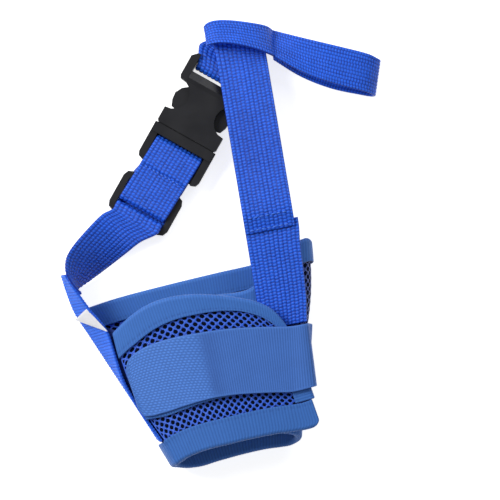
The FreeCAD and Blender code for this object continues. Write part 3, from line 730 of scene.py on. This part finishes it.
# %% Band
BAND = 1.2  # thickness
PATCH = 0.6  # thickness of the hook patch and of the loop patch
CLEAR = 0.35  # air between two layers
TOUCH = 0.1  # air between a patch and the wall it is sewn to
BAND_HEAD = [
    (-46.4, -41.6), (-44.6, -38.0), (-39.1, -34.6), (-32.5, -33.0), (-24.5, -32.3),
    (-14.3, -32.4), (-4.9, -32.9), (3.4, -33.9), (12.4, -35.4), (20.6, -36.9),
]
BAND_NOSE = [
    (-44.4, -57.4), (-42.4, -60.8), (-34.0, -60.9), (-27.4, -60.0), (-20.6, -59.2),
    (-13.0, -58.8), (-5.4, -59.2), (2.4, -60.2), (10.4, -61.5), (17.0, -62.6),
]
BAND_AT = (33.4, 58.6)  # where it lies on the right wall, from the head edge
WALL_POINTS = (9, 8, 7)  # the back panel's outline points that the band passes, downward

rise = MESH + TAPE + CLEAR + BAND / 2
band_pairs = [
    ((x1, y1, flap_height(x1, y1) + rise), (x2, y2, flap_height(x2, y2) + rise))
    for (x1, y1), (x2, y2) in zip(BAND_HEAD, BAND_NOSE)
]


def wall_point(entry, s, out):
    """A point on the back panel's outer face, s from the head edge, out of it."""
    head, nose, _ = back_fan.spans([back_fan.params[entry]])
    _, n = back_fan.surface(back_fan.params[entry] + np.array((-0.5, 0, 0.5)), [0.0], 0.0)
    d = (nose[0] - head[0]) / np.linalg.norm(nose[0] - head[0])
    return head[0] + d * s - n[1, 0] * out


stand_off = TOUCH + 2 * PATCH + CLEAR + BAND / 2
wall_side = [tuple(wall_point(i, s, stand_off) for s in BAND_AT) for i in WALL_POINTS]
(hx, hy), (nx, ny) = FLAP_HEAD[-1], FLAP_NOSE[-1]
for out, drop in ((0.2, 0.5), (1.1, 4.2)):  # round the flap's free edge and down
    pair = []
    for top, foot in zip(band_pairs[len(BAND_HEAD) - 1], wall_side[0]):
        edge_x = hx + (nx - hx) * (top[1] - hy) / (ny - hy) + PROUD
        x = max(edge_x + CLEAR + out, foot[0] - 1.6 + out) + BAND / 2
        pair.append((x, (top[1] + foot[1]) / 2, top[2] - drop))
    band_pairs.append(tuple(pair))
band_pairs += wall_side

# %% Band weave
DASH, ROW = 1.6, 1.05  # spacing of the knit's dashes, along and across
FINE_RIB = 0.95  # spacing of the right part's ribs
SHADE_ZONE = (32.0, 37.0)  # where the painted shade begins and ends, from the left seam


def step_up(x, middle, soft):
    """From 0 before the middle to 1 after it."""
    return 1 / (1 + np.exp(-(x - middle) / soft))


def band_weave(u, v):
    """u runs from the left seam to the free end."""
    row = v / ROW - 0.16 * u
    dash = u / DASH + 0.5 * (np.floor(row) % 2)
    knit = (0.5 - 0.5 * np.cos(2 * np.pi * row)) * (0.55 + 0.45 * np.cos(2 * np.pi * dash))
    ribs = 0.5 + 0.5 * np.cos(2 * np.pi * u / FINE_RIB)
    into_shade, into_ribs = step_up(u, SHADE_ZONE[0], 0.9), step_up(u, SHADE_ZONE[1], 1.2)
    left_part = 0.40 + 0.60 * knit
    # Painted shade: the zone after the knit is drawn darker.
    shaded_level = 0.26 + 0.16 * ribs
    right_part = 0.30 + 0.30 * ribs
    zone = left_part * (1 - into_shade) + shaded_level * (into_shade - into_ribs) + right_part * into_ribs
    selvedge = np.clip(np.minimum(v, v.max() - v) / 1.2, 0, 1)
    return zone * selvedge + 0.6 * (1 - selvedge), 0.20


band = slab("closing_band_cloth", ribbon_grid(band_pairs, FINE, FINE), BAND, band_finish, band_weave, 0.4)

# %% Base tape
# It is sewn on under the band and peeps out below it, less and less from the left.
BASE_SHOWS = (1.6, 1.5, 1.3, 1.0, 0.6, 0.2)
BASE_UNDER = 4.0  # how far it reaches under the band
BASE_DROP = np.array((0, 0, -0.9))  # from the band's middle to the tape's
base_pairs = []
for (top, foot), shows in zip(band_pairs[1:], BASE_SHOWS):
    top, foot = np.array(top), np.array(foot)
    out = (foot - top) / np.linalg.norm(foot - top)
    base_pairs.append((foot - out * BASE_UNDER + BASE_DROP, foot + out * shows + BASE_DROP))
base_tape = slab("band_base_tape", ribbon_grid(base_pairs, FINE, FINE), 0.6, tape_finish, tape_weave, 0.3)

# %% Hook and loop patches
PATCH_ACROSS = np.linspace(BAND_AT[0] + 1.5, BAND_AT[1] - 1.5, 70)
NAP = 0.9  # millimetres between tufts, drawn coarse enough to show
wall_steps = chords(np.array([wall_point(i, PATCH_ACROSS[35], TOUCH + PATCH / 2) for i in WALL_POINTS]))


def patch_grid(out):
    """A patch on the right wall, out of the wall's face."""
    rough = np.array([[wall_point(i, s, out) for s in PATCH_ACROSS] for i in WALL_POINTS])
    at = np.linspace(0, wall_steps[-1], 40)
    return np.stack([glide(rough[:, j], wall_steps, at) for j in range(len(PATCH_ACROSS))], axis=1)


def nap(u, v):
    """Tufts in rows."""
    return 0.5 + 0.25 * (np.cos(2 * np.pi * u / NAP) + np.cos(2 * np.pi * v / NAP)), 0.25


loop_cloth = slab("loop_patch_cloth", patch_grid(TOUCH + PATCH / 2), PATCH, band_finish, nap, 0.3)
hook_cloth = slab("hook_patch_cloth", patch_grid(TOUCH + PATCH * 1.5 + CLEAR), PATCH, band_finish, nap, 0.3)

# %% [markdown]
# ## Webbing
# The straps are 20 mm polypropylene webbing, and the collar's loop is a lighter, finer
# one. The face shows about twelve warp ribs, each a column of short bumps where the rib
# passes over the crossing yarns, about a fifth of a step apart from column to column.
# The route of each strap is given by pairs of edge points.

# %% Left strap, standing on its edge
WEB = 1.4  # thickness
WEB_WIDTH = 20.0
FOOT = WEB * 0.42  # height of the standing strap's lower edge
WALL_FOOT = [
    (-64.6, 0.3), (-63.8, -7.5), (-62.2, -16), (-58.2, -26), (-50.4, -45), (-44.9, -58.4), (-39.4, -72.5),
]
WALL_TOP = [
    (-63.2, 0.1), (-60.0, -7.5), (-56.2, -15.6), (-50.7, -25), (-46.9, -45), (-43.0, -58.4), (-38.1, -72.5),
]
LEAN_OUT = np.array((-1.0, 0.1, 0.0))  # the foot stands a little further out than the sewn line
SWELL = (0, 0, 0, -0.6, -2.0, -1.6, -0.4)  # the full tube pushes the top edge out


def strap(name, pairs, weave=webbing_weave, finish=webbing_finish, painted_shade_map=None):
    """A strap from pairs of points on its two edges."""
    return slab(name, ribbon_grid(pairs), WEB, finish, weave, 0.6, painted_shade_map=painted_shade_map)


foot_line = [np.array((x, y, FOOT)) for x, y in WALL_FOOT]
top_line = [np.array((x, y, WALL)) for x, y in WALL_TOP]
mids = [(a + b) / 2 for a, b in zip(foot_line, top_line)]
standing_pairs = []
for i, (a, b) in enumerate(zip(foot_line, top_line)):
    n = np.cross(b - a, mids[min(i + 1, len(mids) - 1)] - mids[max(i - 1, 0)])  # to the tube's inside
    in_half = n / np.linalg.norm(n) * (WEB / 2)
    standing_pairs.append((a + in_half + LEAN_OUT, b + in_half + np.array((SWELL[i], 0, 0))))
# The standing strap gets the webbing copy with painted light.
side_left = strap("side_strap_left_web", standing_pairs, standing_weave, lit_webbing_finish)

# %% Right strap
NECK_AXIS_Y = 1.2  # the neck loop's hinge
SEW = 9.0  # where the sewn overlap ends
FOLD_RADIUS = 2.2  # of the fold at the strap's far end
BUCKLE_THICK = 8.6
BUCKLE_MID = BUCKLE_THICK / 2
MOUTH_AT = np.array((-4.8, 45.2, 0.0))  # where the buckle's halves meet
BUCKLE_TURN = math.radians(40.6)
AXIS = np.array((math.sin(BUCKLE_TURN), math.cos(BUCKLE_TURN), 0.0))
ACROSS = np.array((AXIS[1], -AXIS[0], 0.0))
FEMALE_LENGTH, MALE_LENGTH, BAR = 31.4, 16.4, 2.8
BAR_TURN = BAR / 2 + CLEAR + WEB / 2  # from a bar's middle to the middle of the strap round it
RUN_START, RUN_END = np.array((20.8, 0.4, 0.0)), np.array((23.3, 78.0, 0.0))


def buckle_point(along, across, z):
    """A point measured from the middle of the buckle's joint, along and across it."""
    return MOUTH_AT + AXIS * along + ACROSS * across + np.array((0, 0, z))


def buckle_pair(along, middle, half, z):
    """Two edge points of a strap that runs along the buckle."""
    return buckle_point(along, middle - half, z), buckle_point(along, middle + half, z)


def right_level(y):
    """Height of the neck strap, which slopes down from the sewn overlap to the fold."""
    top = TUBE_TOP + 0.2 + 1.5 * WEB + CLEAR
    end = BUCKLE_MID + 2 * FOLD_RADIUS
    share = max(0.0, y - SEW - 1.5) / (RUN_END[1] - SEW - 1.5)
    return top + (end - top) * share


def right_pair(y, z):
    """The strap's two edge points at a place along it."""
    c = RUN_START + (RUN_END - RUN_START) * ((y - RUN_START[1]) / (RUN_END[1] - RUN_START[1]))
    return np.array((c[0] - WEB_WIDTH / 2, c[1], z)), np.array((c[0] + WEB_WIDTH / 2, c[1], z))


def turn_path(s, z, radius, start, end):
    """Places round a bar, from one angle to another."""
    turn = np.radians(np.linspace(start, end, 9))
    return [(s + radius * math.cos(a), z + radius * math.sin(a)) for a in turn]


lower_z = TUBE_TOP + 0.2 + WEB / 2
# How far the lower layer's right edge shows past the neck strap's line, at places along it.
OVERHANG = {-36.6: -1.6, -26: -0.2, -16: 0.4, -6: 0.8, 1: 1.5, 4.8: 1.6}
lower_pairs = []
for y, more in OVERHANG.items():
    a, b = right_pair(y, lower_z)
    lower_pairs.append((a, b + np.array((more, 0, 0))))
side_right = strap("side_strap_right_web", lower_pairs)

# %% Right neck strap
right_pairs = [right_pair(y, right_level(y)) for y in (NECK_AXIS_Y + 0.4, SEW + 1.5, 30, 50, 66)]
SUNK = np.array((0, 0, 0.9))  # the sewn end is pressed into the strap below it
right_pairs[0] = tuple(p - SUNK for p in right_pairs[0])
# Half the strap's width along its far fold, which slants so that the strap turns to the buckle.
FOLD_HALF = np.array((-0.938, 0.347, 0.0)) * (WEB_WIDTH / 2 / 0.938)
outward = np.array((-FOLD_HALF[1], FOLD_HALF[0], 0.0))
outward = outward / np.linalg.norm(outward)
outward = outward if outward[1] > 0 else -outward
fold_mid = BUCKLE_MID + FOLD_RADIUS
for a in np.linspace(0, math.pi, 7):
    off = outward * FOLD_RADIUS * math.sin(a) + np.array((0, 0, fold_mid + FOLD_RADIUS * math.cos(a)))
    right_pairs.append((RUN_END + FOLD_HALF + off, RUN_END - FOLD_HALF + off))
bar = FEMALE_LENGTH - 1.7
bar_route = [(bar + 5.5, BUCKLE_MID + 0.9), (bar + 1.6, BUCKLE_MID + BAR_TURN)]
bar_route += turn_path(bar - 1.3, BUCKLE_MID, BAR_TURN, 90, 270)
bar_route += [(bar + 1.6, BUCKLE_MID - BAR_TURN), (bar + 5.0, BUCKLE_MID - BAR_TURN)]
WIDE = WEB_WIDTH / 2 + 0.4  # webbing spreads a little where it is pressed flat in a slot
BUNCHED = (3.0, 1.6)  # how far the left edge swings out above the bar
for i, (s, z) in enumerate(bar_route):
    out = BUNCHED[i] if i < len(BUNCHED) else 0.0
    right_pairs.append((buckle_point(s, -WIDE - out, z), buckle_point(s, WIDE, z)))


def crease_painted_shade(u, v):
    """Painted shade: the strap is drawn a little darker around its middle, most of all along a lengthwise crease.
    """
    crease = 0.5 * np.exp(-((v - 6.0) / 1.6) ** 2) + 0.35 * np.exp(-((v - 9.6) / 1.0) ** 2)
    return 1 - 0.30 * np.exp(-((u - 36.0) / 20.0) ** 2) * (0.5 + crease)


# The right neck strap carries painted shade along a crease.
neck_right = strap("neck_strap_right_web", right_pairs, painted_shade_map=crease_painted_shade)

# %% Collar loop and keeper
FAR, NEAR = np.array((37.0, 80.2, 1.8)), np.array((35.4, 69.0, 11.6))  # ends of the seam between them
LOOP_WAY = np.array((0.91, -0.41, 0.0))  # from the keeper to the collar's loop
tack = np.cross(FAR - NEAR, LOOP_WAY)
tack = tack / np.linalg.norm(tack)
tack = tack if tack[2] > 0 else -tack
LAYER = tack * (WEB + 0.1) / 2  # from the seam's middle to each layer
ahead = LOOP_WAY * CLEAR


def lifted(pairs):
    """Pairs of points whose heights are measured from webbing that lies on the table."""
    return [tuple(np.array(p) + (0, 0, WEB / 2) for p in pair) for pair in pairs]


keeper_pairs = lifted([
    ((11.4, 84.6, 8.0), (10.6, 79.0, 10.0)), ((11.4, 87.2, 8.7), (11.6, 78.8, 12.8)),
    ((15.0, 88.2, 9.6), (15.4, 78.6, 15.0)), ((21.4, 87.2, 9.0), (21.6, 76.8, 16.0)),
    ((30.0, 84.4, 9.0), (29.6, 73.2, 15.4)), ((35.2, 82.4, 6.2), (34.2, 70.4, 13.6)),
])
sewn_top = (FAR + ahead + LAYER, NEAR + ahead + LAYER)
keeper = strap("keeper_loop_web", keeper_pairs + [sewn_top], fine_weave)
collar_pairs = lifted([
    ((49.0, 74.8, 6.2), (46.2, 60.9, 11.0)), ((62.2, 68.6, 7.9), (56.6, 54.6, 11.4)),
    ((73.2, 63.4, 6.8), (68.0, 49.0, 9.8)), ((77.0, 60.8, 3.6), (72.0, 46.8, 6.2)),
    ((77.0, 60.8, 0.6), (71.8, 46.4, 2.0)), ((73.2, 62.4, 0.2), (67.6, 48.0, 0.6)),
    ((62.2, 67.4, 0.0), (56.0, 53.0, 0.8)), ((49.0, 73.4, 0.0), (45.2, 59.8, 3.0)),
])
collar_pairs = [sewn_top] + collar_pairs + [(FAR + ahead - LAYER, NEAR + ahead - LAYER)]
collar = strap("collar_loop_web", collar_pairs, fine_weave)

# %% Slider strap
GLIDE_LOW = WEB + CLEAR  # the slider's underside
GLIDE_START, GLIDE_LENGTH, GLIDE_BAR, GLIDE_SHIFT, GLIDE_THICK = -40.2, 17.8, 3.1, -1.2, 3.0
GLIDE_SLOT = (GLIDE_LENGTH - 3 * GLIDE_BAR) / 2
over = GLIDE_LOW + GLIDE_THICK + CLEAR + WEB / 2  # the strap's height over the slider's bars
under = GLIDE_LOW - CLEAR - WEB / 2 + 0.3  # and under its middle bar
dive = GLIDE_START + GLIDE_BAR + GLIDE_SLOT - CLEAR - WEB / 2  # where it goes down through a slot
route = [
    (dive, under + 0.6), (dive, over - 1.2), (dive + 0.6, over - 0.3), (dive + 1.6, over),
    (GLIDE_START + GLIDE_LENGTH + 1, over), (-MALE_LENGTH - 2.0, over + 0.2),
    (-MALE_LENGTH - 0.4, BUCKLE_MID + BAR_TURN),
]
route += turn_path(-7.6, BUCKLE_MID, BAR_TURN, 90, -90)
route += [
    (-MALE_LENGTH - 0.4, BUCKLE_MID - BAR_TURN),
    (GLIDE_START + GLIDE_LENGTH + 0.6, BUCKLE_MID - BAR_TURN - 0.4),
]
adjuster_pairs = []
for s, z in route:
    lean = max(0.0, min(1.0, (-s - 8) / 26)) * GLIDE_SHIFT
    adjuster_pairs.append(buckle_pair(s, lean, WIDE, z))
adjuster = strap("adjuster_strap_web", adjuster_pairs)

# %% The layer under the slider
# Where it lies along the buckle, and how much wider than the layer above it shows.
UNDER_SHOWS = (
    (GLIDE_START + 1.8, 0.6), (GLIDE_START + 6.0, 0.7), (GLIDE_START + 15.4, 0.7), (-MALE_LENGTH - 1.0, -0.8),
)
under_pairs = [buckle_pair(s, GLIDE_SHIFT, WIDE + more, 0.85) for s, more in UNDER_SHOWS]
under_strap = strap("adjuster_under_layer_web", under_pairs)

# %% Left neck strap
# One length of webbing: its end stands inside the side strap, then it twists face up.
# It is cut in two where the neck loop's hinge crosses it, with a short overlap.
LEFT_TOP = [
    (-57.6, -8.6, 17.6), (-60.2, -4.0, 18.4), (-61.6, 0.0, 18.8), (-61.6, 3.6, 18.6),
    (-60.4, 7.2, 17.8), (-56.8, 11.4, 15.2), (-50.3, 16.8, 10.4), (-44.0, 21.2, 6.6),
]
LEFT_FOOT = [
    (-62.0, -8.6, 0.8), (-60.8, -6.6, 0.8), (-57.4, -5.0, 0.8), (-53.0, -3.2, 0.9),
    (-49.0, -1.4, 1.2), (-43.6, 1.2, 1.8), (-37.4, 4.2, 2.8), (-30.9, 7.3, 4.4),
]
left_pairs = list(zip(LEFT_TOP, LEFT_FOOT))
entry = GLIDE_START + GLIDE_BAR + CLEAR + WEB / 2  # where it goes down into the slider
into_slider = (
    (GLIDE_START + 0.6, over), (entry - 0.9, over), (entry - 0.2, over - 0.35), (entry, over - 1.3),
    (entry, GLIDE_LOW + 0.9),
)
left_pairs += [buckle_pair(s, GLIDE_SHIFT, WIDE, z) for s, z in into_slider]
left_grid = ribbon_grid(left_pairs)
middle = left_grid[:, left_grid.shape[1] // 2]
cut = int(np.argmax(middle[:, 1] > NECK_AXIS_Y - 2.0))
left_end = slab(
    "neck_strap_left_end_web", left_grid[:cut + 5], WEB - 0.04, webbing_finish, webbing_weave, 0.6
)
neck_left = slab(
    "neck_strap_left_web", left_grid[cut:], WEB, webbing_finish, webbing_weave, 0.6, start=chords(middle)[cut]
)

# %% [markdown]
# ## Left seam and nose corner
# The flap's left edge is sewn to the inside of the standing strap, and the back panel
# to its foot. A narrow tape covers each seam. At the nose the top tape runs on round
# the corner of the opening and meets the tape below, so the opening is one soft ring.

# %% Seam tape and nose corner
SEAM_OUTER = [
    (-52.4, -22.6, 14.2), (-51.0, -28.0, 14.6), (-49.9, -34.0, 14.8), (-48.0, -45.2, 14.8),
    (-43.5, -58.9, 14.8), (-39.6, -67.6, 14.8), (-37.3, -73.4, 14.6),
]
SEAM_INNER = [
    (-46.4, -25.8, 15.4), (-45.6, -30.0, 15.6), (-43.8, -36.0, 15.7), (-41.4, -45.4, 15.8),
    (-37.8, -58.8, 15.8), (-35.6, -66.8, 15.6), (-33.6, -73.6, 15.2),
]
FLOOR_OUTER = [(x + 0.4, y, 0.75) for x, y in WALL_FOOT[2:]] + [(-35.4, -80.6, 0.75)]
FLOOR_INNER = [(x + 6.4, y - 0.6, z + 0.9) for x, y, z in FLOOR_OUTER]


def seam_strip(name, outer, inner):
    """A flat tape that covers a seam."""
    # Its darker colours are painted shade.
    return slab(name, ribbon_grid(list(zip(outer, inner))), TAPE, shaded_seam_finish, tape_weave, 0.3)


hinge_tape = seam_strip("hinge_seam_tape", SEAM_OUTER, SEAM_INNER)
floor_tape = seam_strip("floor_seam_tape", FLOOR_OUTER, FLOOR_INNER)

CORNER_NOSE = [
    (-27.6, -79.6, 18.0), (-31.6, -81.4, 17.0), (-34.4, -82.6, 14.0), (-35.6, -83.4, 9.0),
    (-34.4, -84.2, 4.4), (-31.2, -85.2, 1.7), (-26.4, -85.7, 0.9),
]
CORNER_HEAD = [
    (-30.4, -69.6, 20.0), (-35.0, -71.0, 18.4), (-38.2, -72.0, 15.0), (-39.4, -72.8, 9.6),
    (-38.6, -73.6, 4.6), (-35.4, -74.6, 1.9), (-30.0, -75.2, 1.0),
]
corner_fan = Fan(CORNER_HEAD, CORNER_NOSE, -1)
corner_tape = binding("nose_corner_tape", corner_fan.tape_grid(NOSE_TAPE, -1))

# %% [markdown]
# ## Care label
# A folded satin ribbon sewn in between the two layers of the left strap. It is bare
# here. Its corner lies over the strap's outer face.

# %% Label
LABEL_TOP = np.array((-56.5, -14.5, 17.0))  # where it leaves the gap, head end
LABEL_LOW = np.array((-62.6, -18.1, 4.0))  # its free corner
LABEL_END = np.array((-49.9, -24.9, 18.8))  # where it leaves the gap, nose end
LABEL_LIFT = np.array((-0.55, -0.2, 0.5))  # which way it curls


def label_point(a, b):
    """a runs along the sewn edge, b out to the free corner."""
    flat = LABEL_TOP + (LABEL_LOW - LABEL_TOP) * b * (1 - a) + (LABEL_END - LABEL_TOP) * a
    return flat + LABEL_LIFT * (0.6 + 0.7 * math.sin(2.6 * b) * (1 - 0.6 * a))


label_grid = np.array([[label_point(a, b) for b in np.linspace(0, 1, 24)] for a in np.linspace(0, 1, 30)])
label = slab("care_label_cloth", label_grid, 0.3, label_finish, None, 0.1)

# %% [markdown]
# ## Stitches
# Two sewn places show from above: two rows across the right overlap, and the row that
# closes the strap's loop at the buckle. Each stitch is a short curved thread that
# dips into the cloth at both ends.


# %% Stitches
THREAD = 0.55  # thickness, with the sewing's pull
FILL = 0.72  # part of each step that the thread shows
BOW = 0.30  # how far it arches
SIDES, RINGS = 8, 7


def stitch_row(name, a, b, count):
    """A row of stitches from one point to another."""
    step = (b - a) / count
    way = step / np.linalg.norm(step)
    sideways = np.cross(way, (0, 0, 1))
    sideways /= np.linalg.norm(sideways)
    upward = np.cross(sideways, way)
    verts, faces, uvs = [], [], []
    for k in range(count):
        for f in np.linspace(0, 1, RINGS):
            thin = math.sqrt(max(0.05, math.sin(math.pi * f)))
            centre = a + step * (k + FILL * f) + upward * (BOW * math.sin(math.pi * f) - BOW)
            for j in range(SIDES):
                t = 2 * math.pi * j / SIDES
                verts.append(centre + (sideways * math.cos(t) + upward * math.sin(t)) * THREAD / 2 * thin)
                uvs.append((f * 2, j / SIDES))
        for i in range(RINGS - 1):
            base = (k * RINGS + i) * SIDES
            for j in range(SIDES):
                n = (j + 1) % SIDES
                faces.append((base + j, base + n, base + SIDES + n, base + SIDES + j))
    piece = new_piece(name, verts, faces)
    dress(piece.data, thread_finish, np.array(uvs), np.full(len(verts), 0.8))
    return piece


row_s, row_z = -MALE_LENGTH - 1.9, over + 0.2 + WEB / 2 + 0.35
adjuster_row = stitch_row("adjuster_stitch_row", *buckle_pair(row_s, -0.6, 8.0, row_z), 9)
seam_z = right_level(0) + WEB / 2 + 0.25
inset = np.array((2.0, 0, 0))
rows = []
for name, y in (("neck_seam_row_low", NECK_AXIS_Y + 1.6), ("neck_seam_row_high", SEW - 1.2)):
    a, b = right_pair(y, seam_z)
    rows.append(stitch_row(name, a + inset, b - inset, 7))
seam_low, seam_high = rows

# %% [markdown]
# ## Moulded parts
# The buckle and slider keep their engineering shapes. A bevel gives them the rounded
# edges of a mould, and its hardened normals keep their flats flat. Three thin details
# that the engineering shapes leave out are added as blocks.

# %% Plastic
MOULD_EDGE = 0.7 * MM  # how far in an edge is rounded
for node in ("buckle_female", "buckle_male", "prong_left", "prong_right", "tri_glide"):
    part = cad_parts[node]
    part.data.materials.clear()
    part.data.materials.append(plastic_finish)
    edge = part.modifiers.new("mould_edge", "BEVEL")
    edge.width = MOULD_EDGE
    edge.segments = 4
    edge.limit_method = "ANGLE"
    edge.angle_limit = math.radians(35)
    edge.harden_normals = True
    for slot in part.material_slots:
        slot.link = "OBJECT"
        slot.material = plastic_finish


# %% Small moulded pieces
def plastic_block(name, ends):
    """A block between two outlines with equally many corners."""
    count = len(ends[0])
    walls = [(i, (i + 1) % count, (i + 1) % count + count, i + count) for i in range(count)]
    caps = [list(range(count))[::-1], list(range(count, 2 * count))]
    piece = new_piece(name, ends[0] + ends[1], caps + walls)
    sides = bmesh.new()
    sides.from_mesh(piece.data)
    bmesh.ops.recalc_face_normals(sides, faces=sides.faces)
    sides.to_mesh(piece.data)
    sides.free()
    piece.data.materials.append(plastic_finish)
    return piece


def bar_block(name, outline, half):
    """A block across the buckle, from its outline as (along, z) and half its length."""
    return plastic_block(name, [[buckle_point(s, n, z) for s, z in outline] for n in (-half, half)])


# %% Lip over the joint
# The halves meet under a thin black lip, so no light comes through the joint. It lies
# above the prongs' roots, which leaves them room to move.
LIP_HALF = 12.6  # a little less than half the body's width
LIP_LOW, LIP_HIGH = 6.8, 7.2
LIP = [(-0.34, LIP_LOW), (-0.34, LIP_HIGH), (-0.03, LIP_HIGH), (-0.03, LIP_LOW)]
lip_piece = bar_block("buckle_male_lip", LIP, LIP_HALF)

# %% Ramp into the strap's slot
# The body slopes down into the slot where the strap passes, so its edge doesn't cut the webbing.
SLOT_NEAR = 21.8  # the body's end of the female half's strap slot
RAMP = [
    (SLOT_NEAR - 2.6, BUCKLE_THICK - 0.05), (SLOT_NEAR - 0.7, BUCKLE_THICK + 0.5),
    (SLOT_NEAR + 2.3, BUCKLE_THICK - 0.9), (SLOT_NEAR + 2.3, 1.2), (SLOT_NEAR - 2.6, 1.2),
]
ramp_piece = bar_block("buckle_female_ramp", RAMP, WEB_WIDTH / 2 + 0.66)

# %% Web under the strap
# A thin moulded web joins the male half's rails below the strap and closes its corners.
WEB_PLATE = [
    (-4.2, -11.2), (-15.6, -11.2), (-15.6, -9.6), (-6.6, -9.0),
    (-6.6, 9.0), (-15.6, 9.6), (-15.6, 11.2), (-4.2, 11.2),
]
WEB_LOW, WEB_HIGH = 0.72, 1.05
web_piece = plastic_block(
    "buckle_male_web", [[buckle_point(s, n, z) for s, n in WEB_PLATE] for z in (WEB_LOW, WEB_HIGH)]
)

# %% [markdown]
# ## What moves with what
# Each piece rides on a body of the mechanism. Cloth that crosses a hinge is blended
# between the two bodies, so that it bends and doesn't tear.

# %% Riding
BODY = {
    "root": (back_mesh, back_backing, head_tape, nose_tape_back, loop_cloth, side_left, floor_tape, label),
    "neck_loop": (neck_right, keeper, seam_low, seam_high, ramp_piece),
    "collar_loop_body": (collar,),
    "male_half": (adjuster, adjuster_row, under_strap, lip_piece, web_piece),
}
for body, pieces in BODY.items():
    for piece in pieces:
        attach(piece, body)


def place(x, y, z):
    """A point in the shared frame, in metres."""
    return tuple((np.array((x, y, z)) + SHIFT) * MM)


for piece in (flap_mesh, flap_backing, flap_tape, nose_tape_front, band, base_tape, hinge_tape):
    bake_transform(piece)
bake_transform(corner_tape)
for piece in (edge_tape, hook_cloth):
    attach(piece, "flap")
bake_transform(left_end)
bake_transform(neck_left)
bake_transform(side_right)

# %% What replaces what
NODES = {
    "mesh_back_panel": (back_mesh, back_backing, floor_tape), "head_binding": (head_tape,),
    "nose_binding_back": (nose_tape_back,), "loop_patch": (loop_cloth,), "side_strap_left": (side_left,),
    "side_strap_right": (side_right,), "neck_strap_left_end": (left_end,), "care_label": (label,),
    "mesh_front_flap": (flap_mesh, flap_backing, hinge_tape), "flap_top_binding": (flap_tape,),
    "flap_edge_binding": (edge_tape,), "nose_binding_front": (nose_tape_front, corner_tape),
    "closing_band": (band, base_tape), "hook_patch": (hook_cloth,), "neck_strap_left": (neck_left,),
    "neck_strap_right": (neck_right,), "neck_seam_stitches": (seam_low, seam_high), "keeper_loop": (keeper,),
    "collar_loop": (collar,), "adjuster_strap": (adjuster, under_strap), "adjuster_stitches": (adjuster_row,),
}
for node, pieces in NODES.items():
    for piece in pieces:
        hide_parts(node)
